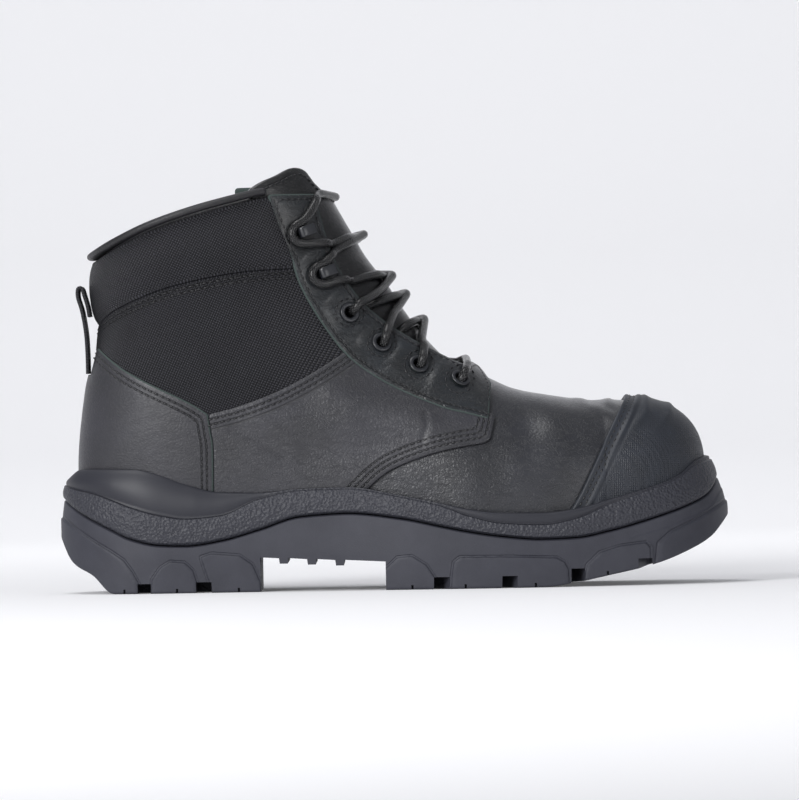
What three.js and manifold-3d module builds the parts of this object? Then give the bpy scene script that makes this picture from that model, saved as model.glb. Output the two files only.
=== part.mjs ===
// A composite toe work boot, right foot, laced to the ankle. Millimetres: +X to the toe, +Y to the inner side, +Z up.
// The floor is z = 0. The origin lies on it, midway along and midway across the sole.
import * as THREE from "three";
import Module from "manifold-3d";

const wasm = await Module();
wasm.setup();

// Driving sizes.
const length = 316; // heel back to toe, over the outsole
const bootHeight = 204; // floor to the top of the tongue
const ballWidth = 106; // the upper at the ball of the foot
const soleWidth = 118; // the outsole at the ball of the foot
const wall = 2.6; // the upper's leather and lining together
const gap = 0.3; // between pieces that meet
const overlayThickness = 1.8; // the leather of quarter and counter
const fabricThickness = 1.2;
const eyestayThickness = 2.2;
const capThickness = 2.6;
const padThickness = 3.2;
const bindingHeight = 3.6; // the roll round the collar, and how far it stands out from the padding
const bindingProud = 0.5;
const tongueThickness = 4.5;
const insoleThickness = 4;
const bandProud = 0.7; // the midsole's lower band in front of its smooth upper part
const lugProud = 0.9; // a lug's side in front of the outsole's wall
const sideLugDepth = 27; // from the sole's edge towards its middle
const middleGroove = 4.5; // wide
const middleDepth = 5;
const rib = { at: [0.334, 0.376, 0.418], along: 4.5, deep: 2.6 };
const strap = { thickness: 1.8, width: 24, clear: 0.6 };
const laceRadius = 2.1;
const laceClear = 1; // between the lace and the eyelets' faces
const eyelet = { hole: 2.6, barrel: 3.2, flange: 4.8, rim: 0.8, slack: 0.3 };
const hook = { width: 5, plate: 6, reach: 8.5, stand: 4.6, metal: 1.2 };

// Steps of the faceted solids.
const toeSteps = 5;
const bodySteps = 14;
const roundSteps = 16;
const heightSteps = 3;
const outlineSteps = 26;
const seamSteps = 9;
const laceSteps = 6;
const drillSteps = 8;
const ringSteps = 8;

const along = (share) => (share - 0.5) * length;
const up = (share) => share * bootHeight;

// A table from the names of its columns and the values of its rows.
const rows = (names, values) => {
  const columns = names.split(" ");
  return values.map((row) => Object.fromEntries(columns.map((name, i) => [name, row[i]])));
};

// Cross-sections of the upper, from the toe over the instep to the top. Each lies in a plane across the boot, from a
// low point, on the bottom or the back, to a high point on the ridge. Places are shares of the length and the boot
// height, half widths and swing to the inner side shares of the ball width. Peak tells how far up the section is widest,
// and the last two columns how square it is below and above that.
const sections = rows("at lowX lowZ highX highZ outer inner swing peak squareLow squareHigh", [
  [0, 0.815, 0.1, 0.815, 0.43, 0.435, 0.44, 0.055, 0.42, 3, 2.8],
  [0.22, 0.815, 0.07, 0.815, 0.43, 0.45, 0.455, 0.03, 0.36, 3.2, 2.7],
  [0.3, 0.72, 0.06, 0.725, 0.445, 0.49, 0.475, 0.012, 0.33, 3.4, 2.4],
  [0.38, 0.625, 0.062, 0.645, 0.487, 0.492, 0.45, 0.004, 0.32, 3.4, 2.15],
  [0.46, 0.53, 0.08, 0.585, 0.557, 0.462, 0.41, 0, 0.34, 3.4, 2.1],
  [0.54, 0.39, 0.105, 0.548, 0.617, 0.425, 0.385, 0, 0.38, 3.3, 2.1],
  [0.62, 0.225, 0.112, 0.527, 0.664, 0.405, 0.385, 0, 0.44, 3.1, 2.15],
  [0.7, 0.075, 0.125, 0.511, 0.703, 0.4, 0.392, 0, 0.48, 2.7, 2.2],
  [0.76, 0.0315, 0.27, 0.494, 0.738, 0.402, 0.398, 0, 0.49, 2.4, 2.2],
  [0.83, 0.044, 0.47, 0.464, 0.808, 0.4, 0.4, 0, 0.47, 2.35, 2.2],
  [0.9, 0.063, 0.62, 0.438, 0.876, 0.398, 0.398, 0, 0.46, 2.35, 2.2],
  [1, 0.053, 0.86, 0.393, 1.03, 0.405, 0.405, 0, 0.46, 2.35, 2.2],
]);
// The toe's round end, in front of the section named upTo: how far it reaches, how high its foremost point is, and how
// square it is from above and from the side.
const toe = { upTo: 0.22, reach: 0.1455, nose: 0.235, plan: 2.35, side: 3.3 };

// The sole from above: half widths and swing to the inner side as shares of the sole's width.
const solePlan = [
  { at: 0, outer: 0.35, inner: 0.35, swing: 0 },
  { at: 0.14, outer: 0.375, inner: 0.375, swing: 0 },
  { at: 0.3, outer: 0.39, inner: 0.36, swing: 0 },
  { at: 0.42, outer: 0.42, inner: 0.35, swing: 0 },
  { at: 0.54, outer: 0.475, inner: 0.4, swing: 0 },
  { at: 0.65, outer: 0.5, inner: 0.475, swing: 0 },
  { at: 0.74, outer: 0.49, inner: 0.495, swing: 0.006 },
  { at: 0.83, outer: 0.455, inner: 0.47, swing: 0.02 },
  { at: 1, outer: 0.42, inner: 0.43, swing: 0.05 },
];
const soleEnds = { heel: 0.15, heelSquare: 2.2, toe: 0.8, toeSquare: 2.35 };

// How far the sole's wall draws in with height, at its sides, heel and toe.
const soleWall = [
  { at: 0, side: 0.014, heel: 0, toe: 0 },
  { at: 0.1, side: 0, heel: 0, toe: 0 },
  { at: 0.17, side: 0, heel: 0, toe: 0 },
  { at: 0.22, side: 0.008, heel: 0.0035, toe: 0.006 },
  { at: 0.26, side: 0.016, heel: 0.006, toe: 0.016 },
  { at: 0.31, side: 0.028, heel: 0.014, toe: 0.026 },
];

// The sole from the side, as shares of the boot height: the midsole's top edge, the lower edge of its smooth part, its
// joint with the outsole, the bed inside it and the floor side of the outsole.
const soleSide = [
  { at: 0, top: 0.262, smooth: 0.254, joint: 0.222, bed: 0.175, ground: 0.135 },
  { at: 0.02, top: 0.29, smooth: 0.244, joint: 0.198, bed: 0.175, ground: 0.072 },
  { at: 0.05, top: 0.29, smooth: 0.233, joint: 0.17, bed: 0.175, ground: 0.042 },
  { at: 0.08, top: 0.289, smooth: 0.216, joint: 0.146, bed: 0.175, ground: 0 },
  { at: 0.105, top: 0.288, smooth: 0.201, joint: 0.127, bed: 0.175, ground: 0 },
  { at: 0.15, top: 0.272, smooth: 0.181, joint: 0.111, bed: 0.176, ground: 0 },
  { at: 0.19, top: 0.25, smooth: 0.172, joint: 0.109, bed: 0.178, ground: 0 },
  { at: 0.24, top: 0.232, smooth: 0.178, joint: 0.119, bed: 0.181, ground: 0 },
  { at: 0.3, top: 0.23, smooth: 0.216, joint: 0.144, bed: 0.187, ground: 0 },
  { at: 0.36, top: 0.237, smooth: 0.233, joint: 0.172, bed: 0.194, ground: 0 },
  { at: 0.43, top: 0.239, smooth: 0.235, joint: 0.178, bed: 0.196, ground: 0 },
  { at: 0.51, top: 0.218, smooth: 0.214, joint: 0.164, bed: 0.182, ground: 0 },
  { at: 0.57, top: 0.198, smooth: 0.192, joint: 0.144, bed: 0.163, ground: 0 },
  { at: 0.61, top: 0.184, smooth: 0.168, joint: 0.131, bed: 0.15, ground: 0 },
  { at: 0.66, top: 0.174, smooth: 0.15, joint: 0.119, bed: 0.138, ground: 0 },
  { at: 0.72, top: 0.172, smooth: 0.145, joint: 0.111, bed: 0.132, ground: 0 },
  { at: 0.77, top: 0.18, smooth: 0.158, joint: 0.113, bed: 0.132, ground: 0.01 },
  { at: 0.82, top: 0.199, smooth: 0.189, joint: 0.127, bed: 0.138, ground: 0.025 },
  { at: 0.885, top: 0.226, smooth: 0.221, joint: 0.154, bed: 0.15, ground: 0.047 },
  { at: 0.94, top: 0.256, smooth: 0.25, joint: 0.183, bed: 0.16, ground: 0.08 },
  { at: 0.97, top: 0.284, smooth: 0.276, joint: 0.205, bed: 0.165, ground: 0.107 },
  { at: 1, top: 0.297, smooth: 0.288, joint: 0.25, bed: 0.165, ground: 0.16 },
];
// The waist between heel and forefoot, hollow underneath.
const waist = { from: 0.299, to: 0.486, roofFrom: 0.08, roofTo: 0.066 };

// Raised lugs on the sole's side, each with its foot and top, and the grooves between them.
const lugs = [
  { foot: 0, top: -0.01, topEnd: 0.09, footEnd: 0.114, rise: 0.182, riseEnd: 0.083 },
  { foot: 0.137, top: 0.152, topEnd: 0.17, footEnd: 0.2, rise: 0.075, riseEnd: 0.075 },
  { foot: 0.228, top: 0.207, topEnd: 0.27, footEnd: 0.297, rise: 0.09, riseEnd: 0.088 },
  { foot: 0.486, top: 0.502, topEnd: 0.54, footEnd: 0.556, rise: 0.078, riseEnd: 0.076 },
  { foot: 0.583, top: 0.595, topEnd: 0.742, footEnd: 0.762, rise: 0.078, riseEnd: 0.073 },
  { foot: 0.784, top: 0.806, topEnd: 0.99, footEnd: 1.02, rise: 0.084, riseEnd: 0.2 },
];
const grooves = [
  { at: 0.125, along: 6.4, top: 0.023, slant: 0 },
  { at: 0.214, along: 7.4, top: 0.025, slant: 0 },
  { at: 0.57, along: 7, top: 0.028, slant: -0.3 },
  { at: 0.671, along: 7, top: 0.028, slant: -0.3 },
  { at: 0.773, along: 6.6, top: 0.042, slant: -0.2 },
  { at: 0.872, along: 6, top: 0.062, slant: 0.2 },
];
const middleGrooves = [0.6, 0.665, 0.73, 0.795, 0.855];

// Panel edges seen from the side, as shares of the length and the boot height.
const seams = {
  collar: [
    [0.01, 0.745], [0.048, 0.768], [0.0918, 0.806], [0.144, 0.844], [0.208, 0.877], [0.268, 0.901],
    [0.312, 0.916], [0.352, 0.918], [0.42, 0.916],
  ],
  throat: [
    [0.375, 1], [0.383, 0.932], [0.408, 0.79], [0.432, 0.715], [0.468, 0.645], [0.515, 0.588],
    [0.565, 0.541], [0.598, 0.515], [0.613, 0.512], [0.628, 0.535],
  ],
  capBack: [
    [0.747, 0.14], [0.773, 0.203], [0.796, 0.272], [0.819, 0.342], [0.84, 0.4], [0.853, 0.44], [0.86, 0.5],
  ],
  eyestayBack: [
    [0.306, 0.98], [0.328, 0.86], [0.35, 0.772], [0.364, 0.705], [0.393, 0.623], [0.43, 0.545],
    [0.467, 0.497], [0.512, 0.456], [0.572, 0.415], [0.617, 0.395], [0.66, 0.375],
  ],
  quarterFront: [
    [0.6, 0.56], [0.624, 0.512], [0.639, 0.482], [0.649, 0.452], [0.652, 0.396], [0.648, 0.36],
    [0.64, 0.336], [0.601, 0.325], [0.556, 0.31], [0.51, 0.285], [0.48, 0.258], [0.44, 0.2],
  ],
  fabricBack: [
    [0.01, 0.65], [0.05, 0.609], [0.062, 0.575], [0.095, 0.528], [0.135, 0.49], [0.195, 0.443],
    [0.2255, 0.413], [0.24, 0.396],
  ],
  fabricFront: [[0.21, 0.407], [0.2255, 0.413], [0.27, 0.43], [0.331, 0.464], [0.392, 0.513], [0.45, 0.57]],
  padLower: [
    [0.01, 0.57], [0.058, 0.62], [0.092, 0.66], [0.153, 0.7], [0.214, 0.724], [0.274, 0.739],
    [0.32, 0.744], [0.39, 0.747],
  ],
  counterFront: [[0.2235, 0.435], [0.2255, 0.413], [0.229, 0.37], [0.232, 0.33], [0.231, 0.18]],
  tongueTop: [
    [0.25, 0.87], [0.302, 0.939], [0.34, 0.968], [0.365, 0.987], [0.385, 0.983], [0.402, 0.952],
    [0.425, 0.925], [0.45, 0.91],
  ],
  tongueBack: [
    [0.72, 0.55], [0.7, 0.44], [0.66, 0.405], [0.6, 0.43], [0.53, 0.47], [0.46, 0.53], [0.405, 0.62],
    [0.36, 0.74], [0.325, 0.85], [0.28, 0.95],
  ],
};
// Eyelets from the vamp upwards, then the hooks, by their place in the side view, and where the lace turns at a hook.
const eyelets = [[0.599, 0.476], [0.539, 0.513], [0.484, 0.567], [0.436, 0.64]];
const hooks = [[0.39, 0.728], [0.36, 0.824]];
const hookTurn = [0.03, 0.016];

// The pull loop's strap, from its lower end up to the fold and down again in front.
const loop = [
  [0.043, 0.512], [0.0427, 0.559], [0.041, 0.608], [0.036, 0.657], [0.03, 0.69], [0.0303, 0.71], [0.036, 0.711],
  [0.0395, 0.695], [0.0443, 0.669], [0.0468, 0.645],
];

// A small block of padding that stands above the collar on the inner side.
const tab = [[0.266, 0.87], [0.267, 0.93], [0.276, 0.944], [0.302, 0.938], [0.304, 0.87]];

const leather = { color: 0x2e2f33, roughness: 0.45 };
const fabric = { color: 0x242427, roughness: 0.9 };
const rubber = { color: 0x2f3136, roughness: 0.7 };
const foam = { color: 0x303237, roughness: 0.75 };
const bumper = { color: 0x26282d, roughness: 0.6 };
const metal = { color: 0x3a3d40, roughness: 0.35, metalness: 0.8 };
const cord = { color: 0x18181a, roughness: 0.35 };

const boot = new THREE.Group();
boot.name = "composite_toe_boot";

// A smooth curve through one column of a table, which never swings past the column's own values.
function column(rows, name) {
  const xs = rows.map((row) => row.at);
  const ys = rows.map((row) => row[name]);
  const spans = xs.slice(1).map((x, i) => x - xs[i]);
  const rises = spans.map((span, i) => (ys[i + 1] - ys[i]) / span);
  const slopes = xs.map((_, i) => {
    if (i === 0 || i === spans.length) return rises[i && i - 1];
    const [a, b, before, after] = [rises[i - 1], rises[i], spans[i - 1], spans[i]];
    return a * b > 0 ? 3 * (before + after) / ((2 * after + before) / a + (after + 2 * before) / b) : 0;
  });
  return (x) => {
    const i = xs.slice(1, -1).filter((knot) => knot < x).length;
    const t = THREE.MathUtils.clamp((x - xs[i]) / spans[i], 0, 1);
    const bend = (1 - t) * slopes[i] - t * slopes[i + 1] - (1 - 2 * t) * rises[i];
    return ys[i] + (ys[i + 1] - ys[i]) * t + t * (1 - t) * bend * spans[i];
  };
}

function table(rows) {
  const names = Object.keys(rows[0]).filter((name) => name !== "at");
  const curves = names.map((name) => [name, column(rows, name)]);
  return (at) => Object.fromEntries(curves.map(([name, curve]) => [name, curve(at)]));
}

const sectionAt = table(sections);
const planAt = table(solePlan);
const wallAt = table(soleWall);

// The ends of a section's middle line, and the share of its width there.
function spine(at) {
  const s = sectionAt(at);
  const turn = (Math.PI / 2) * Math.min(at / toe.upTo, 1);
  const ahead = toe.reach * Math.cos(turn) ** (2 / toe.plan) * (at < toe.upTo ? 1 : 0);
  const tall = Math.sin(turn) ** (2 / toe.side);
  const height = (share) => up(toe.nose + (share - toe.nose) * tall);
  return {
    ...s,
    low: new THREE.Vector3(along(s.lowX + ahead), s.swing * ballWidth, height(s.lowZ)),
    high: new THREE.Vector3(along(s.highX + ahead), s.swing * ballWidth, height(s.highZ)),
    wide: Math.sin(turn) ** (2 / toe.plan) * ballWidth,
  };
}

// A point of the upper's outer face. Round runs from 0 at the low point, by the outer side, to pi at the ridge, and on by
// the inner side to two pi.
function lastPoint(at, round) {
  const s = spine(at);
  const cos = Math.cos(round);
  const square = cos > 0 ? s.squareLow : s.squareHigh;
  const reach = Math.abs(cos) ** (2 / square);
  const share = cos > 0 ? s.peak * (1 - reach) : s.peak + (1 - s.peak) * reach;
  const half = Math.abs(Math.sin(round)) ** (2 / square) * s.wide;
  const point = s.low.clone().lerp(s.high, share);
  point.y += Math.sin(round) > 0 ? -s.outer * half : s.inner * half;
  return point;
}

// The same face moved outwards along its normal.
function facePoint(at, round, grow) {
  const point = lastPoint(at, round);
  if (at <= 0) return point.add(new THREE.Vector3(grow, 0, 0));
  const step = 1e-3;
  const lengthwise = lastPoint(Math.min(at + step, 1), round).sub(lastPoint(at - step, round));
  const girth = lastPoint(at, round + step).sub(lastPoint(at, round - step));
  return point.addScaledVector(girth.cross(lengthwise).normalize(), grow);
}

// The section and the round at which the outer face shows in the side view at x and z.
function locate(x, z) {
  const point = new THREE.Vector3(x, 0, z);
  const behind = (at) => {
    const { low, high } = spine(at);
    return (high.x - low.x) * (point.z - low.z) - (high.z - low.z) * (point.x - low.x) > 0;
  };
  let near = toe.upTo;
  let far = 1;
  for (let i = 0; i < 30; i++) {
    const middle = (near + far) / 2;
    if (behind(middle)) near = middle;
    else far = middle;
  }
  const s = spine(near);
  const share = (point.z - s.low.z) / (s.high.z - s.low.z);
  const below = share < s.peak;
  const reach = below ? 1 - share / s.peak : (share - s.peak) / (1 - s.peak);
  const angle = Math.acos(reach ** ((below ? s.squareLow : s.squareHigh) / 2));
  return { at: near, round: below ? angle : Math.PI - angle };
}

// A closed solid from points and the faces between them. Points in one place become one, faces without area go.
function closed(points, faces) {
  const seen = new Map();
  const places = [];
  const index = points.map((p) => {
    const key = [p.x, p.y, p.z].map((v) => Math.round(v * 1e4)).join();
    if (!seen.has(key)) seen.set(key, places.push(p) - 1);
    return seen.get(key);
  });
  const merged = faces.map((face) => face.map((i) => index[i]));
  const kept = merged.filter(([a, b, c]) => a !== b && b !== c && c !== a);
  const build = (list) => new wasm.Manifold(new wasm.Mesh({
    numProp: 3,
    vertProperties: new Float32Array(places.flatMap((p) => [p.x, p.y, p.z])),
    triVerts: new Uint32Array(list.flat()),
  }));
  const made = build(kept);
  return made.volume() > 0 ? made : build(kept.map(([a, b, c]) => [a, c, b]));
}

function solidOf(geometry) {
  const bare = geometry.index ? geometry.toNonIndexed() : geometry;
  const { position } = bare.attributes;
  const pointAt = (_, i) => new THREE.Vector3().fromBufferAttribute(position, i);
  const points = Array.from({ length: position.count }, pointAt);
  return closed(points, points.flatMap((_, i) => (i % 3 ? [] : [[i, i + 1, i + 2]])));
}

// A closed solid through rings of points, each end closed straight across from one side to the other.
function loft(rings) {
  const n = rings[0].length;
  const faces = [];
  for (let row = 0; row < rings.length - 1; row++) {
    for (let i = 0; i < n; i++) {
      const a = row * n + i;
      const b = row * n + (i + 1) % n;
      faces.push([a, b, b + n], [a, b + n, a + n]);
    }
  }
  const last = (rings.length - 1) * n;
  for (let i = 0; i < n / 2; i++) {
    const [a, b, c, d] = [i, i + 1, n - i - 1, (n - i) % n];
    faces.push([c, b, a], [d, c, a], [last + a, last + b, last + c], [last + a, last + c, last + d]);
  }
  return closed(rings.flat(), faces.filter(([a, b, c]) => a !== b && b !== c && c !== a));
}

const forms = new Map();

// The whole foot form, grown outwards.
function form(grow) {
  if (forms.has(grow)) return forms.get(grow);
  const stations = [];
  for (let i = 0; i <= toeSteps; i++) stations.push(toe.upTo * i / toeSteps);
  for (let i = 1; i <= bodySteps; i++) stations.push(toe.upTo + (1 - toe.upTo) * i / bodySteps);
  const rings = stations.map((at) =>
    Array.from({ length: roundSteps }, (_, i) => facePoint(at, (2 * Math.PI * i) / roundSteps, grow)));
  forms.set(grow, loft(rings));
  return forms.get(grow);
}

const shell = (from, to) => form(to).subtract(form(from));

// The sole's form from heel to toe, its wall drawn in with height and pushed out by grow.
function soleForm(grow) {
  const top = Math.max(...soleSide.map((row) => row.top)) + 0.02;
  const rings = Array.from({ length: heightSteps + 1 }, (_, level) => {
    const share = (top * level) / heightSteps;
    const draw = wallAt(share);
    return Array.from({ length: outlineSteps }, (_, i) => {
      const turn = (2 * Math.PI * i) / outlineSteps;
      const at = (1 - Math.cos(turn)) / 2;
      const plan = planAt(at);
      const heel = Math.max(1 - at / soleEnds.heel, 0);
      const tip = Math.max((at - soleEnds.toe) / (1 - soleEnds.toe), 0);
      const round = (1 - heel ** soleEnds.heelSquare) ** (1 / soleEnds.heelSquare)
        * (1 - tip ** soleEnds.toeSquare) ** (1 / soleEnds.toeSquare);
      const side = (share1) => (share1 - draw.side) * soleWidth + grow;
      const y = (Math.sin(turn) > 0 ? -side(plan.outer) : side(plan.inner)) * round + plan.swing * soleWidth;
      const x = along(at + draw.heel * (1 - at) ** 4 - draw.toe * at ** 4) + grow * (2 * at - 1) ** 3;
      return new THREE.Vector3(x, y, up(share));
    });
  });
  return loft(rings);
}

// A solid with the given outline in the side view, from one y to another.
function across(outline, from, to) {
  const shape = new THREE.Shape(outline.map(([x, z]) => new THREE.Vector2(x, z)));
  const settings = { depth: to - from, bevelEnabled: false, curveSegments: 1 };
  const geometry = new THREE.ExtrudeGeometry(shape, settings);
  return solidOf(geometry.rotateX(Math.PI / 2).translate(0, to, 0));
}

const far = length;
const outer = [-far, -gap / 2];
const inner = [gap / 2, far];
const both = [-far, far];

function sideLine(name, shift = 0) {
  return soleSide.map((row) => [along(row.at), up(row[name]) + shift]);
}

// The room between two lines of the side view, each run on past heel and toe.
function between(low, high) {
  const run = (line) => [[-far, line[0][1]], ...line, [far, line.at(-1)[1]]];
  return across([...run(low), ...run(high).reverse()], ...both);
}

const sky = [[-far, far], [far, far]];
const above = (line) => between(line, sky);

// The outline of a strip of even thickness along a curve.
function strip(points, thickness) {
  const curve = new THREE.SplineCurve(points.map(([x, z]) => new THREE.Vector2(x, z)));
  const rails = [[], []];
  for (let i = 0; i <= seamSteps; i++) {
    const { x, y } = curve.getPoint(i / seamSteps);
    const t = curve.getTangent(i / seamSteps).multiplyScalar(thickness / 2);
    rails[0].push([x - t.y, y + t.x]);
    rails[1].unshift([x + t.y, y - t.x]);
  }
  return rails.flat();
}

const placed = (points, drop = 0) => points.map(([x, z]) => [along(x), up(z) - drop]);

// A thin wall through the boot along a panel edge, which parts the panels there.
const slit = (name, drop) => across(strip(placed(seams[name], drop), gap), ...both);

// The part of a layer that the given slits leave round one place of the side view.
function panel(layer, sides, place, slits) {
  const room = across([[-far, -far], [far, -far], [far, far], [-far, far]], ...sides);
  const parts = slits.reduce((rest, cut) => rest.subtract(cut), layer.intersect(room)).decompose();
  const [x, z] = [along(place[0]), up(place[1])];
  const rod = across([[x, z], [x + 0.5, z], [x, z + 0.5]], ...sides);
  return parts.find((part) => !part.intersect(rod).isEmpty());
}

function add(name, solid, { color, roughness, metalness = 0 }) {
  const { vertProperties, triVerts } = solid.getMesh();
  const geometry = new THREE.BufferGeometry();
  geometry.setAttribute("position", new THREE.BufferAttribute(vertProperties, 3));
  geometry.setIndex(new THREE.BufferAttribute(triVerts, 1));
  const flat = geometry.toNonIndexed();
  flat.computeVertexNormals();
  const mesh = new THREE.Mesh(flat, new THREE.MeshStandardMaterial({ color, roughness, metalness }));
  mesh.name = name;
  boot.add(mesh);
}

// Sole.
const cavity = form(gap).intersect(above(sideLine("bed")));
const soleBody = soleForm(0);
const midsole = soleForm(bandProud).intersect(between(sideLine("joint", gap / 2), sideLine("smooth")))
  .add(soleBody.intersect(between(sideLine("joint", gap / 2), sideLine("top"))))
  .subtract(cavity);
add("midsole", midsole, foam);

const tread = between(sideLine("ground"), sideLine("joint", -gap / 2));
let outsole = soleBody.intersect(tread);
for (const lug of lugs) {
  const outline = [
    [along(lug.foot), -1], [along(lug.footEnd), -1],
    [along(lug.topEnd), up(lug.riseEnd)], [along(lug.top), up(lug.rise)],
  ];
  outsole = outsole.add(soleForm(lugProud).intersect(tread).intersect(across(outline, ...both)));
}
const hollow = [
  [along(waist.from), -1], [along(waist.to), -1],
  [along(waist.to), up(waist.roofTo)], [along(waist.from), up(waist.roofFrom)],
];
outsole = outsole.subtract(across(hollow, ...both));
for (const at of rib.at) {
  const roof = up(THREE.MathUtils.mapLinear(at, waist.from, waist.to, waist.roofFrom, waist.roofTo));
  const [from, to] = [along(at) - rib.along / 2, along(at) + rib.along / 2];
  const bar = across([
    [from, roof - rib.deep], [to, roof - rib.deep], [to, roof + 1], [from, roof + 1],
  ], ...both);
  outsole = outsole.add(bar.intersect(soleBody));
}
for (const groove of grooves) {
  const plan = planAt(groove.at);
  for (const [side, share] of [[-1, plan.outer], [1, plan.inner]]) {
    const edge = plan.swing * soleWidth + side * share * soleWidth;
    const bar = new THREE.BoxGeometry(groove.along, sideLugDepth * 2, up(groove.top) * 2);
    bar.rotateZ(side * groove.slant).translate(along(groove.at), edge, 0);
    outsole = outsole.subtract(solidOf(bar));
  }
}
for (const at of middleGrooves) {
  const plan = planAt(at);
  const wide = (plan.outer + plan.inner) * soleWidth - 2 * sideLugDepth;
  const centre = (plan.swing + (plan.inner - plan.outer) / 2) * soleWidth;
  const depth = 2 * (middleDepth + up(table(soleSide)(at).ground));
  const bar = new THREE.BoxGeometry(middleGroove, wide, depth).translate(along(at), centre, 0);
  outsole = outsole.subtract(solidOf(bar));
}
add("outsole", outsole.subtract(cavity), rubber);

const bed = between(sideLine("bed", gap), sideLine("bed", gap + insoleThickness));
add("insole", form(-wall - gap).intersect(bed), fabric);

// Upper: one hollow shell, open at the collar, the throat and underneath.
const holes = [];
for (const [x, z] of eyelets) {
  const { at, round } = locate(along(x), up(z));
  for (const turn of [round, 2 * Math.PI - round]) {
    const centre = lastPoint(at, turn);
    const axis = facePoint(at, turn, 1).sub(centre);
    const out = new THREE.Quaternion().setFromUnitVectors(new THREE.Vector3(0, 1, 0), axis);
    holes.push({ centre, out, turn });
  }
}
const drills = holes.map(({ centre, out }) => {
  const radius = eyelet.barrel + eyelet.slack;
  const drill = new THREE.CylinderGeometry(radius, radius, 4 * (wall + eyestayThickness), drillSteps);
  return solidOf(drill.applyQuaternion(out).translate(...centre.toArray()));
});
const aboveBed = above(sideLine("bed", gap));
const aboveSole = above(sideLine("top", gap));
const leatherLayer = shell(gap, gap + overlayThickness).intersect(aboveSole);
const upperLayer = shell(-wall, 0).intersect(aboveBed);
const upperEdges = [slit("throat"), slit("collar", bindingHeight), ...drills];
add("upper", panel(upperLayer, both, [0.7, 0.3], upperEdges), leather);
const capLayer = shell(gap, gap + capThickness).intersect(aboveSole);
add("toe_cap", panel(capLayer, both, [0.9, 0.33], [slit("capBack")]), bumper);
const notch = new THREE.BoxGeometry(length / 4, strap.width + 2 * strap.clear, bootHeight);
notch.translate(along(0), 0, up(loop[0][1]) - strap.clear + bootHeight / 2);
const counter = leatherLayer.subtract(solidOf(notch));
add("counter", panel(counter, both, [0.12, 0.38], [slit("fabricBack"), slit("counterFront")]), leather);
const pad = shell(gap, gap + padThickness);
const padEdges = [slit("collar", bindingHeight), slit("padLower"), slit("eyestayBack")];
add("collar_pad", panel(pad, both, [0.15, 0.78], padEdges), fabric);
const roll = shell(-wall, gap + padThickness + bindingProud);
const rollEdges = [slit("collar"), slit("collar", bindingHeight - gap), slit("eyestayBack")];
const [rollX, rollZ] = seams.collar[3];
const rollPlace = [rollX, rollZ - bindingHeight / 2 / bootHeight];
add("collar_binding", panel(roll, both, rollPlace, rollEdges), leather);
for (const [side, sides] of [["outer", outer], ["inner", inner]]) {
  const quarterNames = ["fabricFront", "eyestayBack", "quarterFront", "counterFront"];
  const quarterEdges = quarterNames.map((name) => slit(name));
  add("quarter_" + side, panel(leatherLayer, sides, [0.4, 0.35], quarterEdges), leather);
  const fabricEdges = ["padLower", "fabricBack", "fabricFront", "eyestayBack"].map((name) => slit(name));
  add("fabric_" + side, panel(shell(gap, gap + fabricThickness), sides, [0.2, 0.6], fabricEdges), fabric);
  const stayNames = ["collar", "throat", "eyestayBack", "quarterFront"];
  const stayEdges = [...stayNames.map((name) => slit(name)), ...drills];
  add("eyestay_" + side, panel(shell(gap, gap + eyestayThickness), sides, [0.4, 0.68], stayEdges), leather);
}

const tongueLayer = shell(-wall - gap - tongueThickness, -wall - gap).intersect(aboveBed);
add("tongue", panel(tongueLayer, both, [0.36, 0.9], [slit("tongueTop"), slit("tongueBack")]), leather);

add("pull_loop", across(strip(placed(loop), strap.thickness), -strap.width / 2, strap.width / 2), fabric);
const tabLayer = shell(-wall, gap + padThickness).intersect(across(placed(tab), ...inner));
add("collar_tab", panel(tabLayer, inner, [0.285, 0.935], [slit("collar", -gap)]), fabric);

// Eyelets: a ring with a flange on the eyestay and a barrel through both layers.
const flangeFrom = 2 * gap + eyestayThickness;
holes.forEach(({ centre, out, turn }, i) => {
  const { hole, barrel, flange, rim } = eyelet;
  const rings = [
    [hole, -wall / 2], [barrel, -wall / 2], [barrel, flangeFrom], [flange, flangeFrom],
    [flange - rim / 2, flangeFrom + rim], [hole, flangeFrom + rim], [hole, -wall / 2],
  ];
  const ring = new THREE.LatheGeometry(rings.map(([r, h]) => new THREE.Vector2(r, h)), ringSteps);
  const side = turn < Math.PI ? "outer" : "inner";
  ring.applyQuaternion(out).translate(...centre.toArray());
  add(`eyelet_${side}_${Math.floor(i / 2) + 1}`, solidOf(ring), metal);
});

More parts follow.
